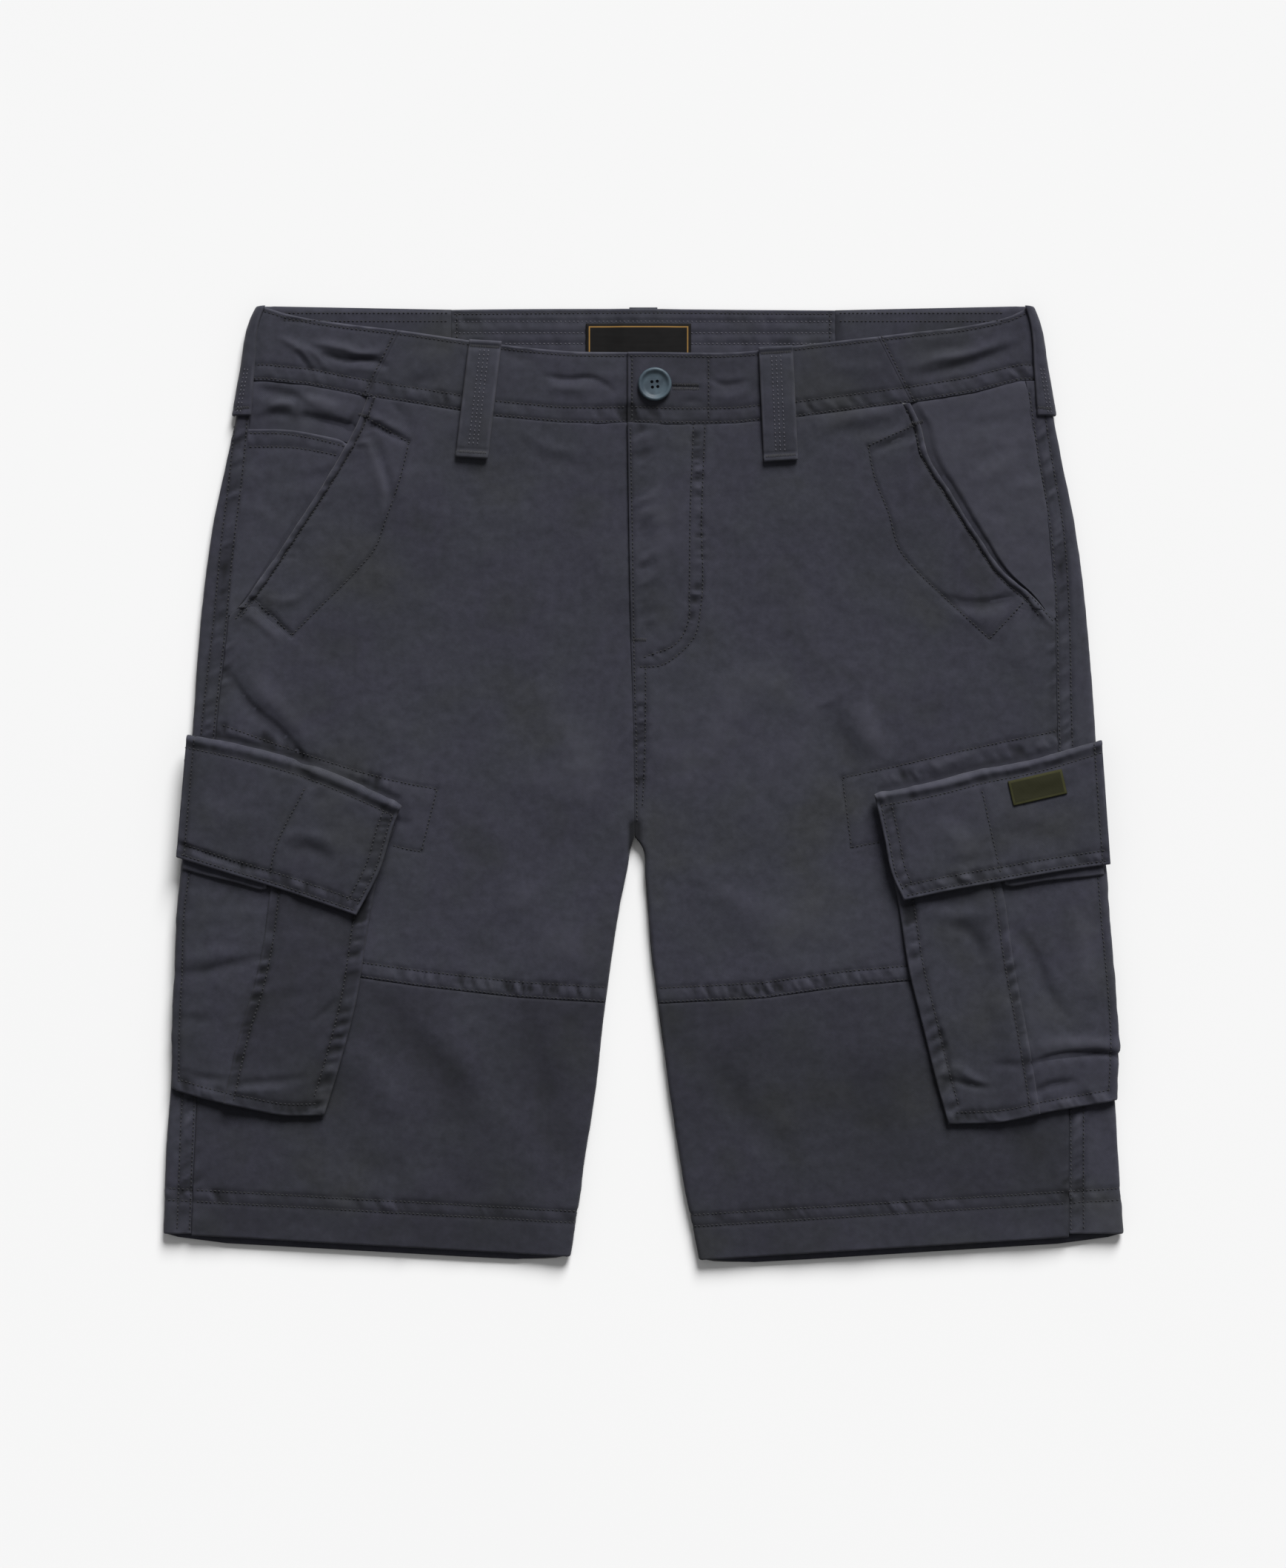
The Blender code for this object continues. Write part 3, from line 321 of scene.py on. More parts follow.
def puckers(x, y, line, reach, height, wave=5.0, slant=0.5, seed=1):
    """Dents across a seam, uneven in strength and distance, that run slanted away from it."""
    made = np.zeros(x.shape)
    here, away, along, _ = nearest(x, y, line, 2.5 * reach)
    drawn = along + slant * away
    dents = (rumple(drawn, 0.3 * away, 0.5 * wave, seed)
             + 0.5 * rumple(drawn, 0.4 * away, 0.27 * wave, seed + 50))
    strength = np.clip(0.8 + 0.8 * rumple(drawn, away, 2.6 * wave, seed + 20), 0.35, 1.5)
    made[here] = height * strength * (dents - 0.15) * np.exp(-(away / reach)**2)
    return made


def groove(x, y, line, depth, width=1.15):
    """A dent along a line, such as a row of stitches pulls into the cloth; the cloth builder darkens every
    dent as painted shade.
    """
    made = np.zeros(x.shape)
    here, away, _, _ = nearest(x, y, line, 3 * width)
    made[here] = -depth * np.exp(-(away / width)**2)
    return made


print("a crease 1 mm high, mm:", float(crease(np.array([5.0]), np.array([0.0]), "0 0  10 0", 2, 1)[0]))

# %% [markdown]
# ## Garment-dyed cotton twill
# The cloth is a cotton twill, woven with fine diagonal ridges and dyed after sewing, so the colour is
# uneven: bluish in some places, greyer or more olive in others, and rubbed lighter along folded and
# felled edges. An image could carry all that, but nodes keep it sharp at any distance. The weave is a
# diagonal wave and the dye is slow noise. The rest comes from the relief of the cloth itself, which each
# piece stores at its points: rubbing along its edges, the tone of its dye, painted highlight on raised
# creases and puckers, and painted shade in troughs, stitch dents and seams. Cotton is rough with little
# gloss, and its loose fibres give a faint sheen.

# %% Helpers for materials


def linear(code):
    """A colour for a shader's socket from its sRGB hex value."""
    parts = [int(code[i:i + 2], 16) / 255 for i in (1, 3, 5)]
    return (*[c / 12.92 if c <= 0.04045 else ((c + 0.055) / 1.055)**2.4 for c in parts], 1.0)


def add(tree, kind, sockets=(), out=0, **settings):
    """A node's output. Each input gets a value, a colour from its code, or a link to another output."""
    node = tree.nodes.new("ShaderNode" + kind)
    for name, value in settings.items():
        setattr(node, name, value)
    for key, value in dict(sockets).items():
        if isinstance(value, bpy.types.NodeSocket):
            tree.links.new(value, node.inputs[key])
        else:
            node.inputs[key].default_value = linear(value) if isinstance(value, str) else value
    return node.outputs[out]


def new_material(name, roughness, **sockets):
    """A material with the values that are the same all over it, its nodes, and a place on the object."""
    made = bpy.data.materials.new(name)
    made.use_nodes = True
    for key, value in dict(Roughness=roughness, **sockets).items():
        made.node_tree.nodes["Principled BSDF"].inputs[key.replace("_", " ")].default_value = value
    return made, made.node_tree, add(made.node_tree, "TexCoord", out="Object")


def noise(tree, place, size, detail, roughness=0.5):
    """Soft noise with bumps of a size in mm."""
    return add(tree, "TexNoise", {"Vector": place, "Scale": 1 / (size * MM), "Detail": detail,
                                  "Roughness": roughness}, "Fac")


def ranged(tree, value, low, high, to_low, to_high):
    return add(tree, "MapRange", {"Value": value, "From Min": low, "From Max": high, "To Min": to_low,
                                  "To Max": to_high})


def maths(tree, operation, a, b=0.5):
    return add(tree, "Math", {0: a, 1: b}, operation=operation)


def blend(tree, share, first, second):
    return add(tree, "MixRGB", {"Fac": share, "Color1": first, "Color2": second})


def scaled(tree, colour, tone):
    return add(tree, "VectorMath", {0: colour, "Scale": tone}, operation="SCALE")


def dress(tree, colour, height=None, depth=0.0):
    """Give the shader its colour, and a bump of a depth in mm."""
    shader = tree.nodes["Principled BSDF"]
    tree.links.new(colour, shader.inputs["Base Color"])
    if height:
        bump = add(tree, "Bump", {"Height": height, "Strength": 0.3, "Distance": depth * MM})
        tree.links.new(bump, shader.inputs["Normal"])


def dyed(tree, share, stops):
    """A colour ramp over a share; stops are (position, colour)."""
    shades = add(tree, "ValToRGB", {"Fac": share})
    ramp = shades.node.color_ramp
    for k, (position, code) in enumerate(stops):
        stop = ramp.elements[k] if k < 2 else ramp.elements.new(1.0)
        stop.position, stop.color = position, linear(code)
    return shades


# %% Twill
TWILL_RIDGE = 0.7       # mm from ridge to ridge; 0.6 in the real cloth, which would be too fine to see
DYE_PATCH = 70          # mm across the slow changes of the dye
DYES = ((0.3, "#2b2c32"), (0.3 + 0.4 / 3, "#2e2e38"), (0.3 + 0.8 / 3, "#2e2f37"), (0.7, "#2e2f33"))
# the lighter colour is rubbing as well as painted highlight on raised cloth; the darker one is painted shade
# in dents, troughs and seams, and a darker dye on some pieces
RUBBED_AND_LIT, SHADED = "#50505a", "#0a0b0e"


def cotton_twill(name):
    """Garment-dyed twill: diagonal ridges, slow changes of dye, and rubbing with painted light and shade from
    the relief.
    """
    made, tree, place = new_material(name, 0.88, Specular_IOR_Level=0.2, Sheen_Weight=0.08,
                                     Sheen_Roughness=0.5)
    weave = add(tree, "TexWave", {"Vector": place, "Scale": 2 * pi / (10 * 2**0.5 * TWILL_RIDGE * MM),
                                  "Distortion": 2.6, "Detail": 2.0, "Detail Scale": 2.0}, "Fac",
                wave_type="BANDS", bands_direction="DIAGONAL")
    grain = maths(tree, "ADD", weave, noise(tree, place, 0.9, 2.0))
    uneven = ranged(tree, noise(tree, place, 5, 4.0, 0.65), 0.3, 0.7, 0.82, 1.18)
    tone = maths(tree, "MULTIPLY", ranged(tree, grain, 0.3, 1.7, 0.86, 1.14), uneven)
    woven = scaled(tree, dyed(tree, noise(tree, place, DYE_PATCH, 3.0, 0.55), DYES), tone)
    wear = add(tree, "Attribute", out="Fac", attribute_name="wear")
    lighter = blend(tree, ranged(tree, wear, 0.05, 1.0, 0.0, 0.75), woven, RUBBED_AND_LIT)
    darker = blend(tree, ranged(tree, wear, -0.05, -1.0, 0.0, 0.86), lighter, SHADED)
    dress(tree, darker, grain, 0.1)
    return made


twill = cotton_twill("cotton_twill_garment_dyed")
print("twill ridges per 10 mm:", round(10 / TWILL_RIDGE, 1))

# %% [markdown]
# ## A sheet of cloth
# Each piece could be a flat mesh with a Solidify modifier, but the wall would then be as rough as the
# face, and twice the size. This builder takes the points of the shown face, pushes them along their
# normals by the relief, and closes the sheet with a hidden face that takes only every fifth line. The
# size each piece was cut to is measured along the face before creasing.

# %% The cloth builder
REPORT = []
SKIP = 5                # lines of the shown face to one of the hidden face


def slopes(grid):
    """Direction of a surface along the first axis of its grid, on a parabola through each three points."""
    step = np.diff(grid, axis=0)
    length = np.linalg.norm(step, axis=2, keepdims=True)
    unit = step / np.maximum(length, 1e-6)
    middle = (unit[:-1] * length[1:] + unit[1:] * length[:-1]) / (length[:-1] + length[1:])
    return np.concatenate([2 * unit[:1] - middle[:1], middle, 2 * unit[-1:] - middle[-1:]])


def link(name, mesh, material):
    """An object for a mesh, in the scene."""
    mesh.materials.append(material)
    piece = bpy.data.objects.new(name, mesh)
    bpy.context.scene.collection.objects.link(piece)
    return piece


def mesh_object(name, places, faces, material):
    """A smooth-shaded object from points in millimetres."""
    mesh = bpy.data.meshes.new(name)
    mesh.from_pydata((MM * np.asarray(places)).tolist(), [], faces)
    work = bmesh.new()
    work.from_mesh(mesh)
    bmesh.ops.recalc_face_normals(work, faces=work.faces)
    work.to_mesh(mesh)
    work.free()
    mesh.shade_smooth()
    return link(name, mesh, material)


def shell(name, top, under, material):
    """A closed sheet between its shown face and a hidden face with fewer lines."""
    n, m = top.shape[:2]
    cols, rows = (sorted({*range(0, count, SKIP), count - 1}) for count in (n, m))
    front = np.arange(n * m).reshape(n, m)
    behind = n * m + np.arange(len(cols) * len(rows)).reshape(len(cols), len(rows))
    faces = []
    for index in (front, behind):
        faces += np.stack((index[:-1, :-1], index[:-1, 1:], index[1:, 1:], index[1:, :-1]),
                          axis=-1).reshape(-1, 4).tolist()
    for fine, coarse, at in ((front.T, behind.T, cols), (front, behind, rows)):
        for end in (0, -1):
            for a, (c, d) in enumerate(zip(at, at[1:])):
                faces.append([*fine[end, c:d + 1].tolist(), int(coarse[end, a + 1]), int(coarse[end, a])])
    places = np.concatenate([top.reshape(-1, 3), under[np.ix_(cols, rows)].reshape(-1, 3)])
    return mesh_object(name, places, faces, material)


def edge_distances(grid):
    """For each point, how far it is along the face from the inner, outer, top and foot edge."""
    made = []
    for axis in (0, 1):
        run = np.linalg.norm(np.diff(grid, axis=axis), axis=2).cumsum(axis=axis)
        run = np.concatenate([np.zeros_like(np.take(run, [0], axis=axis)), run], axis=axis)
        made += [run, np.take(run, [-1], axis=axis) - run]
    return made


def rounded(d, radius, drop):
    """How far the face falls away towards a folded edge."""
    return -drop * (1 - np.sqrt(1 - (1 - np.clip(d / radius, 0, 1))**2))


def ridge(d, height, at, width):
    return height * np.exp(-((d - at) / width)**2)


# For each kind of edge, how its form and its colour change with the distance from it: folded edges are
# rubbed lighter, and a seam is darkened with painted shade where two pieces meet
EDGES = {
    "seam": (lambda d: ridge(d, -0.2, 0, 0.8), lambda d: ridge(d, -0.2, 0, 0.6)),
    "fell": (lambda d: rounded(d, 0.9, 0.3), lambda d: ridge(d, 0.1, 0.7, 0.7)),        # sewn down flat
    "roll": (lambda d: rounded(d, 1.6, 0.8), lambda d: ridge(d, 0.25, 0.9, 0.8)),       # folded
    "worn": (lambda d: rounded(d, 1.4, 0.7) + ridge(d, 0.15, 1.3, 0.9), lambda d: ridge(d, 0.55, 0.9, 0.9)),
    "plain": (lambda d: 0.0 * d, lambda d: 0.0 * d),
}
# How much lighter (+) or darker (-) a piece is coloured than the rest: mostly the uneven dye, but the
# darker lower fronts and inner half of the right pocket are painted shade of a light that falls off towards
# the foot
TONES = {"front_lower": -0.36, "cargo_inner": -0.1, "cargo_outer": -0.12, "cargo_flap_right": -0.16,
         "cargo_inner_right": -0.3, "cargo_outer_left": 0.16, "cargo_flap_left": 0.1, "cargo_gusset": -0.1,
         "waistband_front_left": -0.18, "waistband_back": 0.15, "hip_facing_left": 0.22,
         "hip_facing_right": 0.1, "coin_pocket": 0.08, "back_panel_left": 0.12,
         "belt_loop_front_right": 0.1}


def length(grid, axis):
    """The longest line of a grid along an axis, rounded up to a tenth."""
    return ceil(10 * np.linalg.norm(np.diff(grid, axis=axis), axis=2).sum(axis=axis).max()) / 10


def cloth(part, side, shown, wall, edges, form=None, skin=None, face=1, wraps=False,
          material=None):
    """The cloth piece that stands for a node, from points (w, y, z) on its shown face.

    edges names the form of the inner, outer, top and foot edge. form(x, y) moves the whole sheet, skin(x, y)
    only its face. face is 1 where the first points look up and -1 where they look down. A piece that wraps
    round the side keeps its relief to the part that is off the table.
    """
    def full(name):
        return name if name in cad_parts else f"{name}_{side.name}"

    node, sign = full(part), side.sign if side else 1
    grid = np.array(shown) * np.array([sign, 1, 1])
    turned, kinds = grid.swapaxes(0, 1), edges.split()
    for kind, rows in zip(kinds, (grid, grid[::-1], turned, turned[::-1])):
        if kind == "seam":      # sewn pieces meet in the middle of the gap between their solids
            step = rows[0] - rows[1]
            rows[0] += HALF * step / np.linalg.norm(step, axis=-1, keepdims=True)
    normal = -sign * face * np.cross(slopes(grid), slopes(turned).swapaxes(0, 1))
    normal /= np.linalg.norm(normal, axis=2, keepdims=True)
    x, y = grid[..., 0], grid[..., 1]
    free = ease(grid[..., 2], 0.4, BEND) if wraps else np.ones(x.shape)
    lift = (form(x, y) if form else 0 * x) * free
    shaped = skin(x, y) if skin else 0 * x
    detail, wear = shaped * free, 0 * x
    for kind, away in zip(kinds, edge_distances(grid)):
        detail = detail + EDGES[kind][0](away) * free
        wear = wear + EDGES[kind][1](away) * (0.9 + 0.9 * rumple(x, y, 6, 7))
    detail = np.maximum(detail, -0.8 * wall)         # a dent deeper than the wall would show its inner face
    tone = sum(value for start, value in TONES.items() if node.startswith(start))
    # painted light and shade: dents and crease troughs are darkened and ridges and bumps lightened, besides
    # the rubbed edges and each piece's tone
    wear = np.clip(wear + np.where(shaped < 0, 0.85, 0.4) * shaped + 0.2 * lift + tone, -1, 1)
    top = grid + normal * (lift + detail)[..., None]
    under = grid + normal * (lift - np.broadcast_to(wall, x.shape))[..., None]
    piece = shell("cloth_" + node, top, under, material or twill)
    shade = np.zeros(len(piece.data.vertices), np.float32)
    shade[:x.size] = wear.ravel()
    piece.data.attributes.new("wear", "FLOAT", "POINT").data.foreach_set("value", shade)
    wide, long = length(grid, 0), length(grid, 1)
    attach(piece, "root")
    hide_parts(node)
    REPORT.append((node, round(wide), round(long), len(piece.data.polygons)))
    return piece


print("edge forms:", ", ".join(EDGES))

# %% [markdown]
# ## Where the creases are
# These are the main creases of this pair of shorts, each given as its width, its height (below zero for a
# trough), its lean if it has one, and after the colon a line of points x y. They are listed by layer: the
# front, the cloth behind the hand pockets, the waistband, the pockets and the flaps.

# %% Creases by layer, in millimetres


def crease_rows(text):
    rows = (row.split(":") for row in text.strip().splitlines())
    return [(line, *[float(word) for word in form.split()]) for form, line in rows]


CREASES = {
    "front": crease_rows("""
4 0.8 0.2: -69 200  -56 190.6  -33 186.8
5 -0.6: -69 195  -54 185  -30 181
5 1.1: 96 203  118 208  153 213
4 -0.6: 100 196  122 200  146 205
1.7 -1.3: -161 207  -147 199.5  -132 192.5
2.4 0.8: -160 212  -146 204.5  -131 197
3 -0.6: -150 222  -138 210  -128 198
3.2 1.1 0.3: -162 203  -151 180  -146.5 158  -149 143
2.6 -0.8: -156 200  -146 176  -142 157  -146 140
3 0.8: -222.7 108  -202 103.6  -183 115.5
1.8 -1.5: -228 107  -213 95  -198 82
2.6 1: -231 102  -216 89.5  -203 78
1.6 1.1: 125.8 191.5  142 198  157.7 205.6
2.2 -1.1: 128 187  144 194  158 201
3.2 -1.9 0.2: 168 107  178 103  190.5 101.5  205.5 104.3  217 109
5 0.8: 172 97  190 94  208 98
2.2 1.3: 219.6 104  226 97  233 89
9 -0.9: -240 66  -228 48  -214 34  -202 22
2.8 -1.7 0.3: -236 63  -221 42  -205.8 29  -196 18  -184 2
3.5 1.5: -194 11  -178 6  -160 0.5
2.2 -1.3: -201 17  -197 10  -194 3
2.6 -1.1: -150 -12  -143 -20  -132 -24
3 1: 150 8  168 10.5  190 17
5 1: -226 62  -210 45  -196 33  -182 16
8 -2.1 0.2: 106 46  111.8 27.4  126 6
6 1: 122 46  129 30  142 12
11 -1.4 0.2: -152 -120  -130 -146  -108 -174  -92 -204
12 1.1: -118 -128  -94 -164  -76 -204
10 -1.3: -72 -116  -62 -152  -50 -192  -43 -232
10 0.9: -172 -150  -152 -168  -136 -190
7 -0.8: -170 -214  -154 -219  -134 -220
10 1: -60 60  -40 20  -22 -10
6 0.8: 3 178  8 150  10 108
10 0.8: 60 70  40 25  16 -8
9 0.8: -30 -36  -60 -60  -100 -78
9 1: 20 -40  52 -66  90 -84
9 -0.8: 40 -150  60 -190  90 -220"""),
    "hip": crease_rows("""
3.4 -1.9: -220 223  -205 221  -190 217.5
2.6 1.5: -213 214  -206 216  -198 215
2.6 -1.3 0.2: -222 206.5  -208 210.2  -196 207
3.4 1.7: -196 221  -185 217  -174 212
2.6 -2 0.2: -196 209  -182 206.5  -170 203.5  -160 199
5 0.6: -228 160  -212 150  -203 142
5 0.8: 214 190  196 176  184 172"""),
    "band": crease_rows("""
2.2 1.4 -0.2: -190 250  -170.3 246.4  -160.7 243.4  -146 245
2 -1.8 0.2: -183 244  -168.4 240.3  -158.7 240.8  -150 239  -145 235
2.2 1.3: -206 253  -197.5 248  -190.7 241.2  -187 236
1.8 -1.3: -197 246  -192 239  -189 233
2 1.1: -195 249  -184.9 242.2  -178.5 234
2.4 0.8: -170 236  -158 235  -146 233
1.7 -1.3 0.2: -58 231.5  -44 229.5  -27.7 229.5  -16 222
3 0.9: -55 225  -40 224  -26 223.5
3.5 -0.8: -82 247  -71 242  -60 240
1.8 -1: 36 230  46 226  60 228.5
3 0.8: 34 221  47 219  62 223
2.2 -0.7: 18 214  28 216.5  38 214
3 1.3: 149 235  168 241.2  184.9 244  209 252
3 -1.4 0.2: 153 230  170 234.5  186.8 239.3  215 249.5
4 0.6: 104 235  118 237  134 240"""),
    "pocket": crease_rows("""
3.2 -1.3 0.2: -268 -108  -248.9 -106.6  -235.8 -103  -216 -99
4 0.8: -262 -100  -246 -98  -230 -95
3 -0.6: -266 -132  -254.5 -134  -244 -134
1.8 -1: -188 -136  -181 -130  -173 -122
2.2 -1.1: -268 -164  -252 -167  -234 -168.5
2.4 -1: -238 -171.5  -222 -170  -207.5 -169  -190 -167
2.2 0.6: -236 -175  -220 -174  -204 -173
4 1: 160 -73  176 -75  196 -74
4 -1.6 -0.2: 172 -82  182 -83.5  188 -89  191 -102
4.6 -1.6 0.2: 208 -79  215 -87  222.7 -100.7  231.4 -122  241 -135
6 1.1: 242 -70  246 -78  250 -99  251 -122
1.9 -2.2 0.3: 216 -160  232.4 -155  246 -153.5  257.6 -153  280 -156.5
4 1.5: 222 -150  240 -148  256 -148  276 -150
2.6 -1: 198 -160  206 -159.6  216 -160
2 -1.3: 219 -177  226 -173.5  231.4 -171.4  246 -169
2 -1.3: 168 -168  178 -169.5  186.9 -171.6  197 -173
2.4 1.1: 174 -160  180 -163  187 -167.5  197 -171
1.6 -1.1: 166.5 -138  171 -150  172.5 -158  172.6 -166
2 1: 190 -188.5  199 -190.5  208 -193"""),
    "flap": crease_rows("""
4 -1.9: -196 14  -191 6  -187 -3
4 -1.3: -202 -40  -191 -37  -174 -46
4 0.8: -206 -31  -190 -29  -172 -37
6 0.8: -252 -8  -240 -16  -226 -20
1.7 -1.3 0.3: -268 -32.5  -246 -40.5  -226 -47.5  -210 -51
3.2 0.7: -266 -38.5  -240 -46.5  -216 -54
7 1: 166 -20  178 -30  184 -44
7 -0.8: 200 -22  216 -30  236 -34"""),
}


def creases(x, y, layer):
    """All creases of a layer together."""
    return sum(crease(x, y, *one) for one in CREASES[layer])


def rumpled(x, y, wide, seed, drawn=0.15):
    """Slow waves of a given height, with smaller ones on them, some drawn out across the garment."""
    wrinkles = (rumple(x / 3.2 + 0.1 * y, y - 0.15 * x, 6.5, seed + 4)
                * ease(rumple(x, y, 25, seed + 5), -0.3, 0.6))
    return (drawn * wide * wrinkles + wide * rumple(x, y, 44, seed)
            + 0.42 * wide * rumple(x + 0.4 * y, y, 19, seed + 1) + 0.22 * wide * rumple(x, y, 8, seed + 2)
            + 0.08 * rumple(x + y, y - x, 4.5, seed + 3))


def form_of(layer, wide, seed, drawn=0.15, low=-9.0, high=9.0):
    """A function for the form of a whole layer: its creases and rumples, between two heights."""
    return lambda x, y: np.clip((creases(x, y, layer) if layer else 0)
                                + rumpled(x, y, wide, seed, drawn), low, high)


print("creases placed by hand:", sum(len(rows) for rows in CREASES.values()))

# %% [markdown]
# ## Where the stitching runs
# Twill shorts are sewn with doubled rows of a dark thread, a presser foot apart. Each row is listed once
# here, by layer, most of them as a distance from an edge of the pattern. The same lists dent the cloth
# now and carry the thread later, so the two always agree.

# %% Rows of stitches by layer
ROW_EDGE, ROW_FOOT = 1.2, 9.0           # mm from the edge to the first and to the second row
STRAIGHT = ("knee", "waist", "hem")     # edges that run straight between their points
ROWS = {layer: [] for layer in ("front", "back", "hip", "band", "pocket", "flap", "loop", "band_back",
                                "band_top")}


def placed(side, row):
    """Points (w, y) of one side as (x, y)."""
    return np.asarray(row, float) * np.array([side.sign, 1])


def level(side, edge, w_inner, w_outer, shift=0.0):
    """A row across the garment, beside an edge from one w to another."""
    w = np.linspace(w_inner, w_outer, max(3, ceil(abs(w_outer - w_inner) / 4)))
    y = (y_on if edge in STRAIGHT else y_at)(getattr(side, edge), w)
    return placed(side, beside(np.stack((w, y), axis=1), shift))


def down(side, edge, y_top, y_foot, shift=0.0):
    """A row down the garment, beside an edge from one y to another."""
    y = np.linspace(y_top, y_foot, max(3, ceil(abs(y_top - y_foot) / 4)))
    return placed(side, beside(np.stack((w_at(getattr(side, edge), y), y), axis=1), shift))


for side in SIDES:
    knee, waist, hem, fold, slant = side.knee, side.waist, side.hem, side.fold, side.slant
    for shift in (ROW_EDGE, ROW_FOOT):
        ROWS["front"].append(level(side, "knee", knee[0][0] + 1, side.w_knee - 1, shift))
        ROWS["band"].append(level(side, "waist", waist[0][0] + 1, fold[2][0] - 1, shift))
    for shift in (HEM_DEPTH, HEM_DEPTH - 6.5):
        ROWS["front"].append(level(side, "hem", hem[0][0] - 8, side.w_hem - 0.5, shift))
        ROWS["back"].append(level(side, "hem", side.w_hem + 1, hem[-1][0] - 1, shift))
    ROWS["back"] += [down(side, "seam", 222, -254, shift) for shift in (ROW_EDGE, 8.3)]
    slanted = [(slant[0], y_at(side.band_top, slant[0])), (slant[1], y_on(waist, slant[1]))]
    ROWS["band"] += [level(side, "band_top", waist[0][0] + 1, slant[0], -2.3),
                     placed(side, beside(curve(slanted), 2.0)),
                     level(side, "band_top", slant[0] + 2, fold[0][0] - 1, -2.3)]
    ROWS["front"].append(down(side, "opening", side.opening[0][1] - 2, side.corner_y + 4, -WELT_WIDTH + 0.7))
    inner, foot, outer, pleat = side.pocket_inner, side.pocket_foot, side.pocket_outer, side.pleat
    ROWS["pocket"] += [down(side, "pocket_inner", -30, inner[-1][1] + 8, 8.5),
                       level(side, "pocket_foot", foot[0][0] + 4, foot[-1][0] - 3, 6.6),
                       down(side, "pocket_outer", 0, outer[-1][1] + 4, -5.0),
                       down(side, "pleat", -46, pleat[-1][1] + 3, -5.2)]
    top, foot, edge = side.flap_top, side.flap_foot, side.flap_inner
    ROWS["flap"].append(level(side, "flap_top", top[0][0] + 2, top[-1][0] - 1, -8.0))
    for shift in (2.4, 8.2):
        ROWS["flap"] += [level(side, "flap_foot", foot[0][0] + 2, foot[-1][0] - 1, shift),
                         down(side, "flap_inner", edge[0][1] - 7, edge[-1][1] + 5, shift)]
    ROWS["flap"].append(placed(side, beside(curve([top[-1], foot[-1]]), -4.5)))

ROWS["flap"] += [curve("-191.5 -3  -209 -40  -211.5 -52"), curve("191.5 -4  202 -50")]
# The fly, the centre seam, the hand pockets' bags and the squares behind the flaps
ROWS["front"] += [curve(line) for line in """
28.5 203  26.5 150  26 106.5  25.5 91.5  19.5 80  0.5 71.5
35 203  33 150  32.5 99.5  29 83  21 74  10.5 67  -2 66
-7.4 202  -6.2 140  -5.4 81
-5.4 81  -4.8 50  -4 24  -3.8 0  -3.6 -22
1.2 66  1.2 35  0.6 10  -0.6 -14
-159 208.5  -146 201  -133 193.5
-133 193.5  -138 173  -146.5 149  -152.5 133  -163 120.5  -182 101.5  -199.5 84
-199.5 84  -210.5 94.5  -222 105
-223.5 104.5  -231.5 93
156 204  142 198  127.5 191.5
127.5 191.5  131.5 173  139 154  146.5 131  154 122  170.5 106  196.5 82
196.5 82  208 94  219 106.5
220 106  232 92.5
-239 33  -194 17  -142 1.5  -117 -3.5
-117 -3.5  -121.5 -21  -126 -39
-126 -39  -134 -37.5  -142 -35.5
234.5 29.5  184 19  149.5 11  113 3
113 3  115.5 -16  118 -36.5
118 -36.5  126 -35  134 -33.5""".strip().splitlines()]
ROWS["hip"] += [curve("-224 198.6  -203 198.2  -187.5 195.7  -168.5 191"),
                curve("-224 191  -205 191  -187 188.8  -173 186")]
print("rows of stitches:", {layer: len(rows) for layer, rows in ROWS.items()})


def sewn(x, y, layer, depth=0.42):
    """The dents of all rows of a layer."""
    return sum(groove(x, y, line, depth) for line in ROWS[layer])


def skin_of(layer, *dents):
    """A function for the relief of a layer's face: its stitches, and puckers (line, reach, ... seed)."""
    return lambda x, y: ((sewn(x, y, layer) if layer else 0 * x)
                         + sum((puckers(x, y, *one) for one in dents), 0 * x))


# %% [markdown]
# ## The legs
# Each leg has a back that lies on the table and comes round the outer fold, and a front in two parts with
# a felled seam at the knee. At the inner leg the front rolls down to half height and meets the back. The
# front is the face that is seen most, so it has the finest mesh.

# %% Bends at the inner leg and the outer fold
BEND_ARCS = np.linspace(0, QUARTER, 6)[:-1]
LAST = np.ones(1)
FIRST = 0 * LAST


def inner_bend(side, table, y, arc, lay):
    """Points along the inner edge of a leg, arc along the cloth from its seam; lay is 1 front, -1 back.

    The edge follows the centre seam in the table above the crotch, where it is flat, and the inner leg
    below it, where it is bent into the fold.
    """
    edge_w = np.where(y >= CROTCH_Y, side.sign * smooth(table, 1, y), w_at(side.inner_leg, y))
    angle = (QUARTER - arc) / BEND
    bent = join(edge_w + BEND - BEND * sin(angle), BEND + lay * BEND * cos(angle))
    flat = join(edge_w + HALF + arc, LAID if lay > 0 else 0.0)
    made = mix(flat, bent, ease(-y, -CROTCH_Y, -CROTCH_Y + 14)[..., None])
    return join(made[..., 0], y, made[..., 1])


def inner_edge(side, table, y_top, y_foot, lay):
    """The points where the bend ends, as a function of t."""
    return lambda t: inner_bend(side, table, mix(y_top, y_foot, t), QUARTER, lay)[..., :2]


def inner_bends(side, table, y, lay):
    return [inner_bend(side, table, y, arc, lay) for arc in BEND_ARCS]


def outer_bend(w, y, degrees, radius=BEND):
    """Points on the side fold whose outermost line is at w; 0 degrees is under it, 180 on top."""
    angle = radians(degrees)
    return join(w - BEND + radius * sin(angle), y, BEND - radius * cos(angle))


def back_lift(x, y):
    """Rise of the back and its waistband over the centre back belt loop."""
    return (LOOP_WALL + GAP) * (1 - ease(np.abs(x), 10, 22)) * ease(y, 195, 207)


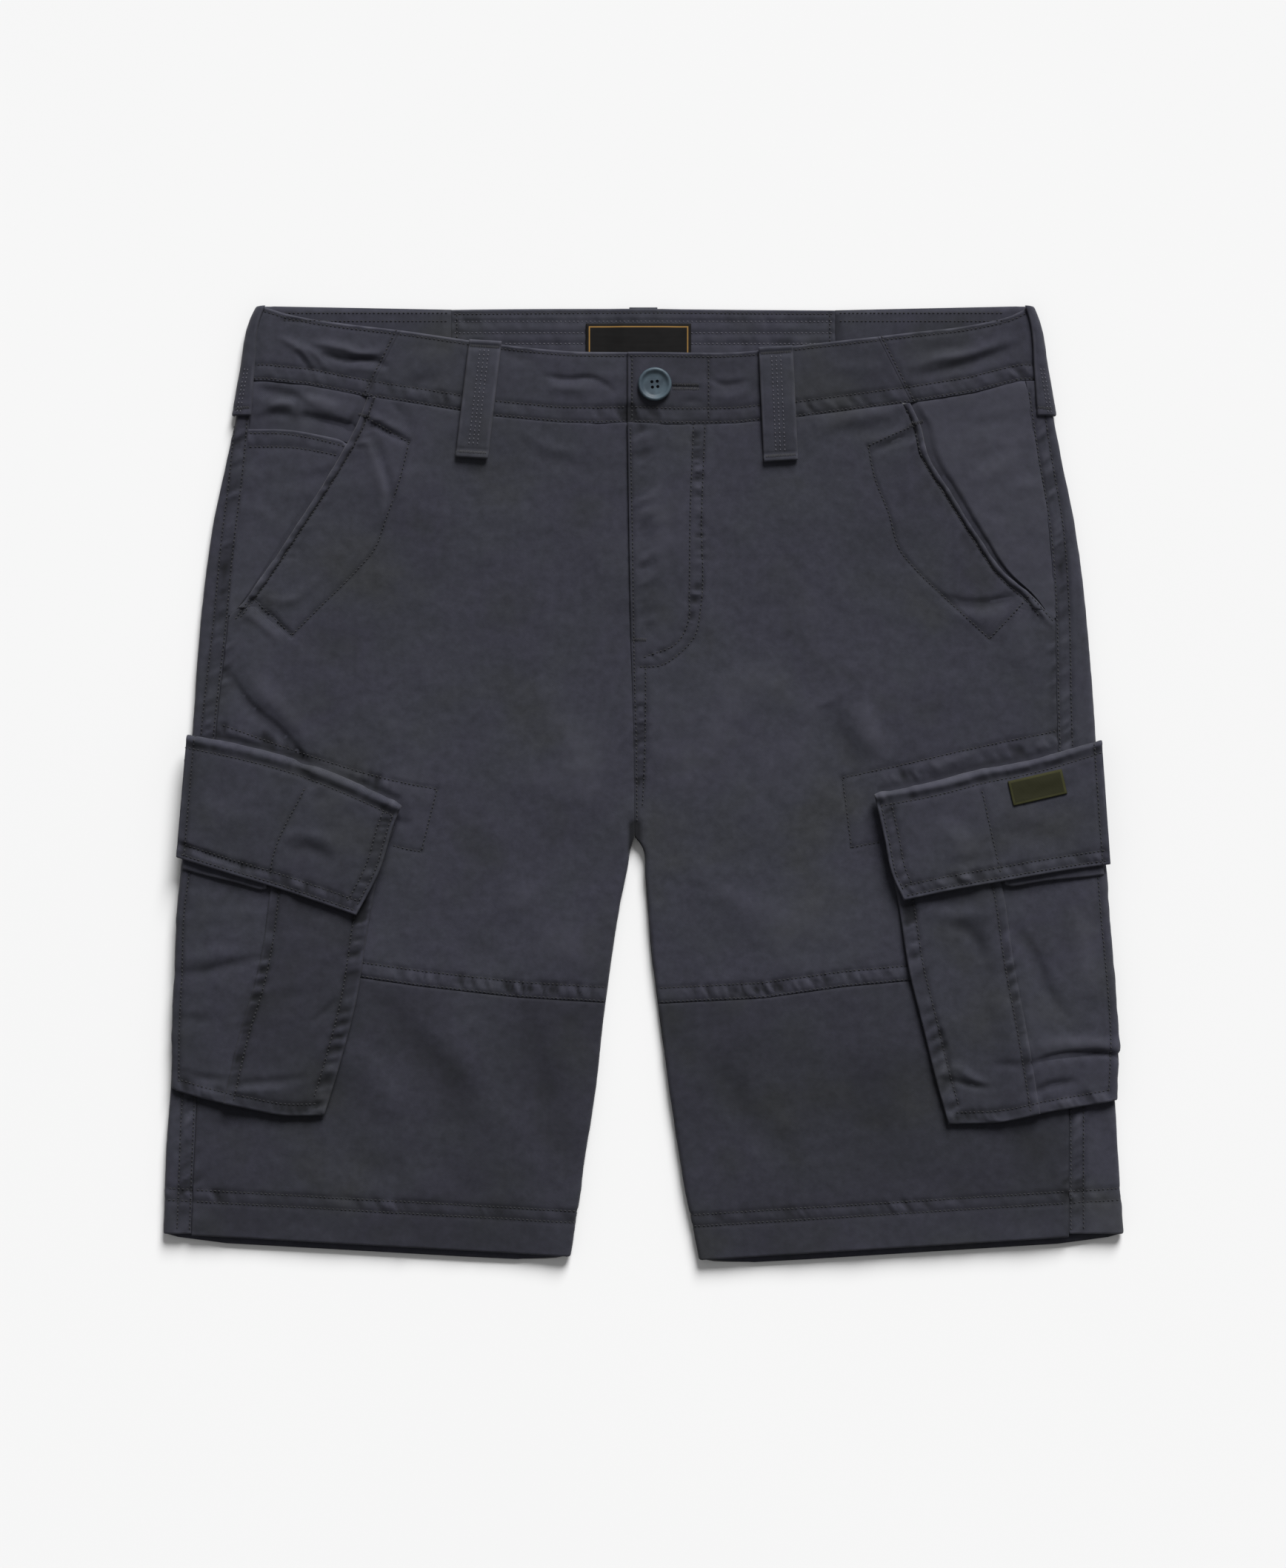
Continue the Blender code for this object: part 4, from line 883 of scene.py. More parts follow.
def band_lift(side, x):
    """Rise of the front waistband: over the back belt loop, and of its left half over its right half."""
    lift = CENTRE_LIFT * (1 - ease(np.abs(x), 22, 45))
    return lift + (LAP_LIFT * (1 - ease(x, LAP_END + 2, LAP_END + 32)) if side is LEFT else 0)


def high(flat, z):
    """Points (w, y) at a height."""
    return join(flat[..., 0], flat[..., 1], z)


print("cloth in a bend, mm:", round(QUARTER, 2))

# %% Front of the legs
LEG_CELL = 1.3          # mm between the lines of the mesh


def covered(side, x, y):
    """1 where a cargo pocket lies on the leg and 0 beside it."""
    w = side.sign * x
    inner = ease(w - w_at(side.pocket_inner, np.clip(y, -188, 0)), 1, 5)
    return inner * ease(y_at(side.flap_top, np.clip(w, 130, 258)) - y, 1, 5) * ease(
        y - y_at(side.pocket_foot, np.clip(w, 173, 268)), 1, 5)


def front_form(side):
    def form(x, y):
        made = creases(x, y, "front") + rumpled(x, y, 0.8, 11)
        return np.clip(np.where(made > 0, made * (1 - covered(side, x, y)), made), -1.55, 2.4)
    return form


def front_skin(side):
    top = side.flap_top[0][0]
    flap_shadow_line, shade = level(side, "flap_top", top + 4, 259, 1.4), 0.75 if side is RIGHT else 0.4
    dents = skin_of("front", (level(side, "knee", 22, side.w_knee - 1, 5.2), 4.2, 0.95, 5.0, 0.3, 21),
                    (level(side, "hem", 44, side.w_hem, HEM_DEPTH - 3), 4.4, 0.6, 8.0, 0.6, 22),
                    (curve("-2 64  -1.4 20  -1.6 1"), 3.6, 0.9, 5.0, 0.3, 23),
                    (curve("30 200  28.5 100  23 82  4 71"), 3.4, 0.65, 5.0, 0.2, 24),
                    (level(side, "flap_top", top + 6, 250, 6.0), 4.5, 0.9, 8.0, 0.3, 28),
                    (down(side, "seam", 88, -254, -1.5), 3.5, 0.4, 7.0, 0.7, 25),
                    (down(side, "opening", 212, side.corner_y, -8), 4.5, 0.35, 7.0, 0.6, 26))
    fly_edge = curve("-1 200  1 90")
    # painted shadow: the deep dent where the legs part is darkened as the shade of the hollow, and the dent
    # along the flap's top as the shadow the flap casts on the leg
    return lambda x, y: (dents(x, y) + puckers(x, y, fly_edge, 7.0, 0.6, 9.0, 0.3, 27) * (x > -8)
                         + groove(x, y, points("-4.9 -25  -4.9 -38"), 3.4, 2.7)    # where the legs part
                         + groove(x, y, flap_shadow_line, shade, 1.8))


def front_outer_w(side, y):
    """Outer edge of the front: inside the rolled edge of the hand pocket, then along the side seam."""
    inside = w_at(side.opening, np.maximum(y, side.corner_y)) - WELT_WIDTH + WELT_TUCK
    return mix(w_at(side.seam, y) - HALF, inside, ease(y, side.corner_y, side.corner_y + 12))


def hem_wall(grid_y, foot_y):
    return np.where(grid_y < foot_y + HEM_DEPTH, HEM_WALL, CLOTH)


def pocket_welt(side):
    y_out = side.opening[0][1] - HALF, side.corner_y + 6
    levels = mix(*y_out, lines(y_out[0] - y_out[1], 1.2))
    shown = []
    for share in np.linspace(0, 1, 8):
        w = w_at(side.opening, levels) - WELT_WIDTH * (1 - share)
        shown.append(join(w, np.minimum(levels, y_on(side.waist, w) - GAP),
                          LAID + WELT_RISE * sin(pi * share)))
    return cloth("pocket_welt", side, shown, CLOTH, "plain roll plain roll", front_form(side),
                 skin_of("front", (down(side, "opening", 216, side.corner_y, -2), 3, 0.35, 6.5, 0.5, 45)))


def front_panel(part, side, y_in, y_out, top, foot, carries=()):
    """A front piece between two cross seams; y_in and y_out are (top, foot) at its inner and outer edge."""
    def outer(t):
        y = mix(*y_out, t)
        return join(front_outer_w(side, y), y)

    inner, t = inner_edge(side, FRONT_CENTRE, *y_in, 1), lines(y_out[0] - y_out[1], LEG_CELL)
    w_top, w_foot = ((inner(end)[0, 0], outer(end)[0, 0]) for end in (FIRST, LAST))
    plan = patch(inner, outer, across(top, *w_top, -HALF, y_on), across(foot, *w_foot, HALF, y_on),
                 lines(230, LEG_CELL, start=False), t)
    grid = np.concatenate([inner_bends(side, FRONT_CENTRE, mix(*y_in, t), 1), high(plan, LAID)])
    grid[..., 2] += band_lift(side, side.sign * grid[..., 0]) * ease(grid[..., 1], 14, 165)
    hem_y = side.hem[-1][1] if part == "front_lower" else -np.inf
    return cloth(part, side, grid, hem_wall(grid[..., 1], hem_y), "seam seam seam roll", front_form(side),
                 front_skin(side))


for side in SIDES:
    knee_in, knee_out, hem = side.knee[0][1], y_on(side.knee, side.w_knee), side.hem
    front_panel("front_upper", side, (side.waist[0][1] - HALF, knee_in + HALF),
                (side.opening[0][1] - HALF, knee_out + HALF), side.waist, side.knee, [pocket_welt(side)])
    front_panel("front_lower", side, (knee_in - HALF, hem[0][1]), (knee_out - HALF, hem[-1][1]), side.knee,
                [(w, y - HALF) for w, y in hem])
print("front pieces:", REPORT[-6:])

# %% Back of the legs


def back_panel(side):
    """From the centre seam and inseam, flat on the table, round the side fold and up to the side seam."""
    top_in, foot_in = BACK_BAND_FOOT - GAP, side.hem[0][1]
    top_out, foot_out = side.waist[-1][1] - GAP, side.hem[-1][1]
    t = lines(top_in - foot_out, 1.5)
    y_outer = mix(top_out, foot_out, t)
    fold_w = w_at(side.fold, y_outer)
    inner = inner_edge(side, BACK_CENTRE, top_in, foot_in, -1)
    outer = upright(side.fold, top_out, foot_out, -BEND)
    hem = across(side.hem, inner(LAST)[0, 0], outer(LAST)[0, 0])

    def foot(s):
        return hem(s) - join(0 * s, HEM_PEEP * np.clip(8 * s * (1 - s), 0, 1)**0.5)

    plan = patch(inner, outer, straight(inner(FIRST)[0], outer(FIRST)[0]), foot,
                 np.linspace(0, 1, 42)[:-1], t)
    grid = np.concatenate([inner_bends(side, BACK_CENTRE, mix(top_in, foot_in, t), -1), high(plan, 0.0)])
    grid[..., 2] += np.where(grid[..., 1] > CROTCH_Y, back_lift(grid[..., 0], grid[..., 1]), 0)
    bend = [outer_bend(fold_w, y_outer, degrees) for degrees in range(0, 180, 15)]
    strip = [join(mix(fold_w - BEND, w_at(side.seam, y_outer) + HALF, s), y_outer, LAID)
             for s in lines(18, 1.2, start=False)]
    grid = np.concatenate([grid, bend, strip])
    dents = skin_of("back", (down(side, "seam", 222, -254, 4.8), 4.6, 0.9, 7.0, 0.6, 32),
                    (level(side, "hem", side.w_hem, side.hem[-1][0], HEM_DEPTH - 3), 4.4, 0.4, 8.0, 0.5, 33))
    # painted shadow: the back's hem is let out below the front's, and a wide dent darkens it as the front
    # hem's shadow
    shaded = level(side, "hem", side.hem[0][0], w_at(side.fold, -250) - 28, -HEM_PEEP)
    return cloth("back_panel", side, grid, hem_wall(grid[..., 1], foot_out), "seam fell plain roll",
                 form_of("", 0.4, 31), lambda x, y: dents(x, y) + groove(x, y, shaded, 1.05, 3.6),
                 face=-1, wraps=True)


for side in SIDES:
    back_panel(side)
print("back pieces:", REPORT[-2:])

# %% [markdown]
# ## The hand pockets
# Behind each slanted opening lies the hip facing, which carries a coin pocket on the right side. The
# opening's edge is rolled and stitched, and stands a little above the front.

# %% Hip facings and coin pocket
UNDER_BAND = 3.0        # how far the hip's cloth reaches up under the waistband
BEYOND = 0.04 + 0.96 * lines(60, 1.4, start=False)      # shares of the way from the opening to the side seam


def beyond_opening(side, beyond, y):
    """w at a share of the way from the pocket's opening to the side seam."""
    return mix(w_at(side.opening, y), w_at(side.seam, y) + 0.4, beyond)


def facing_rise(side, beyond, t):
    """The facing climbs from under the front to the height of the seam, more slowly at its top."""
    rise = mix(LAID - GAP - FACING_TOP, side.facing_rise, ease(t, 0.1, 0.21))
    return rise * ease(beyond, 0.0, mix(0.06, 0.11, ease(t, 0.05, 0.15))) - 1.8 * (1 - ease(t, 0.0, 0.035))


def hip_form(x, y):
    below_band = ease(y_on(LEFT.waist, np.abs(x)) - y, -0.5, 5)
    return below_band * form_of("hip", 0.5, 41, 1.0, -1.2, 1.4)(x, y)


def hip_skin(layer):
    return skin_of(layer, (curve("-224 195  -205 195  -187 192  -170 188"), 3.5, 0.4, 7, 0.3, 42))


def hip_facing(side):
    foot, t = side.corner_y + 1, lines(125, 1.4)
    y_in = mix(side.facing[0][1], side.facing[-1][1], t)
    shown = []
    for s in np.linspace(0, 1, 9)[:-1]:
        y = mix(y_in, mix(side.opening[0][1], foot, t), s)
        near = w_at(side.opening, np.maximum(y, side.corner_y)) - 2
        shown.append(join(mix(w_at(side.facing, y_in), near, s), y, FACING_TOP))
    for beyond in BEYOND:
        y = mix(y_on(side.waist, beyond_opening(side, beyond, 218)) + UNDER_BAND, foot, t)
        shown.append(join(beyond_opening(side, beyond, y), y, FACING_TOP + facing_rise(side, beyond, t)))
    return cloth("hip_facing", side, shown, CLOTH, "plain seam seam plain", hip_form, hip_skin(""))


def coin_pocket(side):
    mouth = points("160 190  168.5 193.5  187.5 198  203 200.5  226 201")
    foot, t = side.corner_y + 2, lines(105, 1.4)
    y = mix(mouth[0][1], foot, t)
    shown = [join(w_at(side.opening, y) - behind, y, COIN_TOP) for behind in (9, 6, 3)]
    for beyond in BEYOND:
        y = mix(y_at(mouth, beyond_opening(side, beyond, mouth[1][1])), foot, t)
        shown.append(join(beyond_opening(side, beyond, y), y, COIN_TOP + facing_rise(side, beyond, 1.0)))
    return cloth("coin_pocket", side, shown, CLOTH, "plain seam roll plain", hip_form, hip_skin("hip"))


for side in SIDES:
    hip_facing(side)
coin_pocket(RIGHT)
print("hand pocket pieces:", REPORT[-3:])

# %% [markdown]
# ## The waistband
# The band is two layers folded at the top. It runs from the fly to a slanted seam at the hip, round the
# side fold and across the back, where its inner face shows above the front because the back is cut
# higher. Its top edge is a fold that has rubbed lighter, with a row of stitches close under it.

# %% Waistband pieces
BUTTONHOLE = points("16.5 224.8  31.5 224.6")
ROWS["band"] += [curve("37 243  37 206"), curve("-6.4 241  -6.4 206")]
ROWS["band"] += [placed(side, [(111, y), (205, y)]) for side in SIDES for y in (262.6, 267.2)]
band_form = form_of("band", 0.45, 51, 1.2, -1.35, 1.6)


def band_skin(x, y):
    dents = skin_of("band", *[(level(side, "waist", side.waist[0][0], side.fold[2][0], 5), 4.4, 0.85, 8.0,
                               0.5, 52) for side in SIDES])
    return dents(x, y) + groove(x, y, BUTTONHOLE, 0.9, 0.8)


def slant_end(side, k, shift):
    """The top or the foot of the waistband's slanted seam, shifted outwards."""
    w = side.slant[k] + shift
    return w, (y_on(side.waist, w) + HALF if k else y_at(side.band_top, w))


def band_front(side, inner_w):
    band_top, waist = side.band_top, side.waist
    inner = straight((inner_w, band_top[0][1]), (inner_w, waist[0][1] + HALF))
    outer = straight(slant_end(side, 0, -HALF), slant_end(side, 1, -HALF))

    def top(s):
        w = mix(inner_w, side.slant[0] - HALF, s)
        return join(w, y_at(band_top, np.maximum(w, band_top[0][0])))

    plan = patch(inner, outer, top, across(waist, inner_w, side.slant[1] - HALF, HALF, y_on),
                 lines(155, 1.3), lines(40, 1.2))
    return cloth("waistband_front", side, high(plan, LAID + band_lift(side, side.sign * plan[..., 0])), BAND,
                 "roll seam worn seam", band_form, band_skin)


def band_side(side):
    band_top, waist = side.band_top, side.waist
    top_y, foot_y, t = side.fold[0][1], waist[-1][1] + HALF, lines(42, 1.2)
    y_fold = mix(top_y, foot_y, t)
    outer = upright(side.fold, top_y, foot_y, -BEND)
    inner = straight((side.slant[0] + HALF, y_at(band_top, side.slant[0])),
                     (side.slant[1] + HALF, y_on(waist, side.slant[1]) + HALF))
    w_top, w_foot = ((inner(k)[0], outer(end)[0, 0]) for k, end in enumerate((FIRST, LAST)))
    plan = patch(inner, outer, across(band_top, *w_top), across(waist, *w_foot, HALF, y_on),
                 lines(75, 1.3, end=False)[:-1], t)
    fold = [outer_bend(w_at(side.fold, y_fold), y_fold, degrees) for degrees in range(180, -1, -15)]
    back_w = BACK_BAND_HALF + GAP
    back = straight((back_w, smooth(BACK_BAND_TOP, 0, side.sign * back_w)), (back_w, BACK_BAND_FOOT))
    under = [high(mix(outer(t), back(t), share), 0.0) for share in np.linspace(0, 1, 40)[1:]]
    return cloth("waistband_side", side, np.concatenate([high(plan, LAID), fold, under]), BAND,
                 "seam seam worn seam", band_form, band_skin, wraps=True)


def band_back():
    x, t = BACK_BAND_HALF * (2 * lines(2 * BACK_BAND_HALF, 1.4) - 1), lines(38, 1.2)
    top = smooth(BACK_BAND_TOP, 0, x)[:, None]
    shown = join(x[:, None], mix(top, BACK_BAND_FOOT, t[None]), BAND + back_lift(x, BACK_BAND_FOOT)[:, None])
    rows = [curve([(-108, y), (0, y), (108, y)]) for y in (262.3, 255.8, 249.8)]
    ROWS["band_back"] = rows
    ROWS["band_top"] = [curve(line) for line in ("-108 266.6  0 267.2  108 266.6", "-106 267  -106 246",
                                                 "106 267  106 246")]
    dents = skin_of("band_back", (rows[0], 4, 0.3, 7, 0.3, 54), (rows[2], 4, 0.3, 7, 0.3, 55))
    return cloth("waistband_back", None, shown, BAND, "seam seam roll plain",
                 form_of("", 0.3, 53, low=0, high=0.5), lambda x, y: dents(x, y) + sewn(x, y, "band_top"))


for side in SIDES:
    band_side(side)
band_front(RIGHT, -LAP_END)
band_front(LEFT, LEFT.band_top[0][0])
band_back()
print("waistband pieces:", REPORT[-5:])

# %% [markdown]
# ## The fly and the belt loops
# The strip behind the fly is hidden when the fly is closed, but it is there. The loops are straps folded
# in three, with three rows of thread, tacked at the top and turned under at the foot. They bow away from
# the band because a belt has stretched them.

# %% Underlap and loops
RIGHT.loop, LEFT.loop = (89.5, 251, 97.5, 183.5, 18.5), (75.0, 247.5, 78.0, 182, 19.5)
LOOP_RISES = points("0 .6  .05 .1  .1 .7  .2 1  .5 1.2  .75 .9  .9 .3  .925 0  .95 .9  .985 .9  1 .5")
SIDE_STRAP_WIDTH = points("208.5 6.8  245 3.1  271 0.8")      # y, and how far it reaches onto the front
FLY_TACKS = [points(row) for row in ("-6.5 81.5  1.5 81.2", "-162 209.5  -154.5 207.5", "151 203  159 205.5")]
LOOP_TACKS = []


def fly_underlap():
    t = lines(130, 4)
    right = mix(30, 22, ease(t, 0.75, 1.0))
    shown = [join(mix(-14, right, s), mix(194, 64, t), FACING_TOP) for s in lines(44, 4)]
    return cloth("fly_underlap", None, shown, CLOTH, "plain plain plain plain")


def loop_point(side, offset, share):
    """(w, y) on a front belt loop, offset from -0.5 to 0.5 across it and share from 0 to 1 down it."""
    w_top, y_top, w_foot, y_foot, width = side.loop
    w = mix(w_top, w_foot, share) + offset * width
    return join(w, mix(y_top, y_foot, share) + (w - w_top) * 0.06)


def loop_skin(x, y):
    return sewn(x, y, "loop", 0.2) + sum(groove(x, y, line, 0.35, 1.2) for line in LOOP_TACKS)


def front_loop(side):
    t = lines(68, 1.0)
    rise = LAID + GAP + STRAP + STRAP_BOW * np.interp(t, *zip(*LOOP_RISES))
    shown = [high(loop_point(side, offset, t), rise + 0.25 * cos(pi * offset))
             for offset in lines(side.loop[-1], 0.9) - 0.5]
    ROWS["loop"] += [placed(side, loop_point(side, offset, np.linspace(0.07, 0.9, 20)))
                     for offset in (-0.13, 0.0, 0.13)]
    LOOP_TACKS.extend(placed(side, loop_point(side, np.linspace(-0.44, 0.44, 9), share))
                      for share in (0.05, 0.945))
    return cloth("belt_loop_front", side, shown, STRAP, "roll roll roll roll", form_of("", 0.25, 61),
                 loop_skin)


def side_loop(side):
    radius, y = BEND + SIDE_STRAP_GAP + SIDE_STRAP, mix(271.0, 208.5, lines(62, 1.0))
    reach, fold = smooth(SIDE_STRAP_WIDTH, 0, y), w_at(side.fold, y)
    shown = [join(fold - BEND - reach * (1 - s), y, BEND + radius) for s in np.linspace(0, 1, 8)[:-1]]
    shown += [outer_bend(fold, y, degrees, radius) for degrees in range(180, 57, -12)]
    ROWS["loop"] += [placed(side, join(fold - inset, y)[y < 236][::4]) for inset in (1.2, 3.0)]
    LOOP_TACKS.append(placed(side, points("223.5 213  232 212.2")))
    return cloth("belt_loop_side", side, shown, SIDE_STRAP, "roll roll roll roll", form_of("", 0.12, 62),
                 loop_skin)


def back_loop():
    shown = [join(x, mix(270.5, 209.0, lines(61, 2)), LOOP_WALL) for x in np.linspace(-8, 8, 9)]
    return cloth("belt_loop_back", None, shown, LOOP_WALL, "roll roll roll roll")


fly_underlap()
for loop_of in (front_loop, side_loop):
    for side in SIDES:
        loop_of(side)
back_loop()
print("loops:", REPORT[-5:])

# %% [markdown]
# ## The cargo pockets
# Each pocket is a bellows: a folded strip lifts it off the leg along its inner edge and foot, and a pleat
# down its middle lets it open. The inner half's folded edge lies over the outer half. The pocket is
# crowned, since it holds its own layers of cloth, and it is turned down at the side.

# %% Pocket halves and the strip under them


def pocket_height(side, w, y):
    """Face of the pocket, crowned between its edges and below the flap."""
    inner, outer = w_at(side.pocket_inner, y), w_at(side.pocket_outer, y)
    span = np.clip((w - inner) / (outer - inner), 0.0, 1.0)
    top = y_at(side.flap_foot, np.minimum(w, side.flap_foot[-1][0])) - 8
    drop = np.clip((top - y) / (top - y_at(side.pocket_foot, w)), 0.0, 1.0)
    return POCKET_TOP + POCKET_CROWN * np.sin(pi * span) * np.sin(pi * drop)


def mouth_y(side, w):
    return y_at(side.flap_top, w) - POCKET_MOUTH


def pocket_edge(side, table, shift=0.0):
    """An edge of the pocket from its mouth to its foot."""
    y_foot = y_at(side.pocket_foot, table[-1][0]) if table is side.pleat else table[-1][1]
    return upright(table, mouth_y(side, table[0][0]), y_foot, shift)


def pocket_form(side):
    def form(x, y):
        w = side.sign * x
        under_flap = ease(y - y_at(side.flap_foot, np.clip(w, 148, 264)), -2, 6)
        made = creases(x, y, "pocket") + rumpled(x, y, 0.75, 71, 0.5)
        from_edge = np.minimum(w - w_at(side.pocket_inner, np.clip(y, -193, -17)),
                               y - y_at(side.pocket_foot, np.clip(w, 173, 268)))
        return np.clip(made, mix(-1.0, -1.9, ease(from_edge, 10, 18)), 1.9) * (1 - under_flap)
    return form


def pocket_skin(side):
    dents = skin_of("", (down(side, "pocket_inner", -40, side.pocket_inner[-1][1], 5), 4.6, 0.85, 8, 0.4, 72),
                    (level(side, "pocket_foot", side.pocket_foot[0][0], 266, 4), 4.4, 0.95, 8, 0.4, 73),
                    (down(side, "pleat", -50, side.pleat[-1][1], -2.6), 3.6, 0.7, 8, 0.4, 74))
    return lambda x, y: sewn(x, y, "pocket") + np.clip(dents(x, y), -0.9, 1.2)


def pocket_half(part, side, inner, outer, lift, edges, turned):
    """Half of the pocket's face, from its mouth to its foot."""
    def mouth(s):
        w = mix(inner(0.0)[0], outer(0.0)[0], s)
        return join(w, mouth_y(side, w))

    t = lines(175, 1.4)
    plan = patch(inner, outer, mouth, across(side.pocket_foot, inner(1.0)[0], outer(1.0)[0]),
                 lines(68, 1.4, end=not turned), t)
    w, y = plan[..., 0], plan[..., 1]
    grid, edge = high(plan, pocket_height(side, w, y) + lift(w, y)), outer(t)
    if turned:
        lowered = [join(edge[:, 0] + TURN_DOWN * sin(turn), edge[:, 1],
                        POCKET_TOP - TURN_DOWN * (1 - cos(turn)))
                   for turn in np.linspace(0, pi / 2, 7)[1:]]
        grid = np.concatenate([grid, lowered])
    return cloth(part, side, grid, CLOTH, edges, pocket_form(side), pocket_skin(side))


def cargo_pocket(side):
    def over_pleat(w, y):
        return PLEAT_LIFT * ease(w - w_at(side.pleat, y), -22, -PLEAT_LAP - 1)

    pocket_half("cargo_outer", side, pocket_edge(side, side.pleat, -PLEAT_LAP),
                pocket_edge(side, side.pocket_outer, -TURN_DOWN), lambda w, y: 0.0, "plain plain plain roll",
                True)
    pocket_half("cargo_inner", side, pocket_edge(side, side.pocket_inner), pocket_edge(side, side.pleat),
                over_pleat, "roll roll plain roll", False)


def cargo_gusset(side):
    corner, end = side.pocket_inner[-1], side.pocket_foot[-1]
    y, w = np.linspace(side.pocket_inner[1][1], corner[1], 90), np.linspace(corner[0], end[0] - 4, 60)
    shown, walls = [], []
    for inset in GUSSET_INSET + GUSSET_WIDTH * lines(GUSSET_WIDTH, 1.4):
        down_edge = join(w_at(side.pocket_inner, y) + inset, y)[:-1]
        along_foot = join(w, y_at(side.pocket_foot, w) + inset)[1:]
        walls.append(GUSSET_WALL - 1.1 * ease(inset - GUSSET_INSET, 1.0, 3.5))
        shown.append(high(np.concatenate([down_edge, [[corner[0] + inset, corner[1] + inset]], along_foot]),
                          LAID + GAP + walls[-1]))
    return cloth("cargo_gusset", side, shown, np.array(walls)[:, None], "roll plain plain plain")


for side in SIDES:
    cargo_gusset(side)
    cargo_pocket(side)
print("pocket pieces:", REPORT[-6:])

# %% [markdown]
# ## The flaps
# A flap is two layers sewn down along its top, so it is the stiffest piece: its edges are rolled and it
# stands over the pocket. Below its outer half a second layer peeps out.

# %% Flaps and their under layer
flap_form = form_of("flap", 0.7, 81, 0.4, -1.3, 1.4)


def flap_skin(side):
    start, edge = side.flap_top[0][0], side.flap_inner
    top, over, under = (level(side, "flap_top", start, 259, shift) for shift in (-4, -2.2, -6.2))
    dents = skin_of("flap", (top, 4, 0.55, 8, 0.2, 82),
                    (level(side, "flap_foot", side.flap_foot[0][0], 264, 5.2), 3.8, 0.9, 7, 0.4, 83),
                    (down(side, "flap_inner", edge[0][1], edge[-1][1], 5.2), 3.8, 1.0, 6.5, 0.4, 84))
    # a raised line between the top edge and its row is lightened as painted highlight, and a dent below the
    # row darkened as painted shade
    return lambda x, y: (dents(x, y) + groove(x, y, over, -0.5, 1.5)
                         + groove(x, y, under, 0.65, 1.3) * (0.8 + 0.5 * rumple(x, y, 9, 85)))


def cargo_flap(side):
    top, foot, edge, t = side.flap_top, side.flap_foot, side.flap_inner, lines(75, 1.3)
    inner, outer = upright(edge, edge[0][1], edge[-1][1]), straight(top[-1], foot[-1])
    plan = patch(inner, outer, across(top, inner(0.0)[0], outer(0.0)[0]),
                 across(foot, inner(1.0)[0], outer(1.0)[0]), lines(125, 1.3), t)
    height = mix(LAID + GAP + FLAP_WALL, FLAP_TOP, ease(t, -0.03, 0.045)) + ridge(t, 0.35, 0.055, 0.03)
    return cloth("cargo_flap", side, high(plan, height), FLAP_WALL, "roll roll roll roll", flap_form,
                 flap_skin(side))


def cargo_underflap(side):
    start = w_at(side.pleat, y_at(side.flap_foot, side.pleat[2][0])) + 2
    end = side.flap_foot[-1][0] - 3.5
    share = lines(end - start, 1.3)
    w = mix(start, end, share)
    reach = 4.0 * ease(share, -0.1, 0.1) + 1.5 * ease(share, 0.3, 0.9)
    foot = y_at(side.flap_foot, w)
    shown = join(w[:, None], mix(foot + 9, foot - reach, lines(14, 1.2)[:, None]).T, UNDERFLAP_TOP)
    return cloth("cargo_underflap", side, shown, UNDERFLAP_WALL, "roll roll plain roll")


for side in SIDES:
    cargo_underflap(side)
    cargo_flap(side)
print("flap pieces:", REPORT[-4:])

# %% [markdown]
# ## The labels
# Both labels are woven from polyester and left plain: a black one with a gold border inside the back of
# the waist, and a dark olive one with a lighter edge on the left flap. A border could be a texture, but
# worked out from the label's own width and height in the shader it stays sharp and moves with the label.

# %% Woven labels
WAIST_LABEL = SimpleNamespace(left=-32.5, right=27.0, top=261.0, foot=240.0)
FLAP_LABEL = SimpleNamespace(w=223.0, y=-2.5, width=31.0, height=14.0, tilt=13.0)


def woven_label(name, ground, border, centre, size, tilt, inset, band):
    """Fine ribbed weave with a plain border: centre, size, inset and band in mm, tilt in degrees."""
    made, tree, place = new_material(name, 0.75, Specular_IOR_Level=0.12)
    moved = add(tree, "Mapping", {"Vector": place, "Location": [-MM * c for c in (*centre, 0)]})
    turned = add(tree, "VectorRotate", {"Vector": moved, "Axis": (0, 0, 1), "Angle": radians(-tilt)})
    axes = add(tree, "SeparateXYZ", {0: turned}).node
    edges = [maths(tree, "SUBTRACT", MM * length / 2, add(tree, "Math", {0: axes.outputs[axis]},
                                                          operation="ABSOLUTE"))
             for axis, length in zip("XY", size)]
    from_band = maths(tree, "SUBTRACT", maths(tree, "MINIMUM", *edges), MM * (inset + band / 2))
    share = ranged(tree, add(tree, "Math", {0: from_band}, operation="ABSOLUTE"), MM * (band / 2 + 0.15),
                   MM * (band / 2 - 0.15), 0.0, 1.0)
    rib = add(tree, "TexWave", {"Vector": turned, "Scale": 2 * pi / (20 * 0.5 * MM), "Distortion": 0.6},
              "Fac", wave_type="BANDS", bands_direction="Y")
    lit = scaled(tree, blend(tree, share, ground, border), ranged(tree, rib, 0.0, 1.0, 0.86, 1.12))
    dress(tree, lit, rib, 0.08)
    return made


def waist_label():
    size = WAIST_LABEL
    wide, tall = size.right - size.left, size.top - size.foot
    look = woven_label("woven_polyester_black", "#141313", "#8a6a3a",
                       ((size.left + size.right) / 2, (size.top + size.foot) / 2), (wide, tall), 0, 1.5, 0.65)
    x = mix(size.left, size.right, lines(wide, 1.0))
    height = BAND + GAP + LABEL_WALL + back_lift(x, BACK_BAND_FOOT)
    shown = join(x[:, None], mix(size.top, size.foot, lines(tall, 1.0))[None], height[:, None])
    return cloth("waist_label", None, shown, LABEL_WALL, "seam seam seam seam",
                 form_of("", 0.25, 91, low=-0.2, high=0.4), material=look)


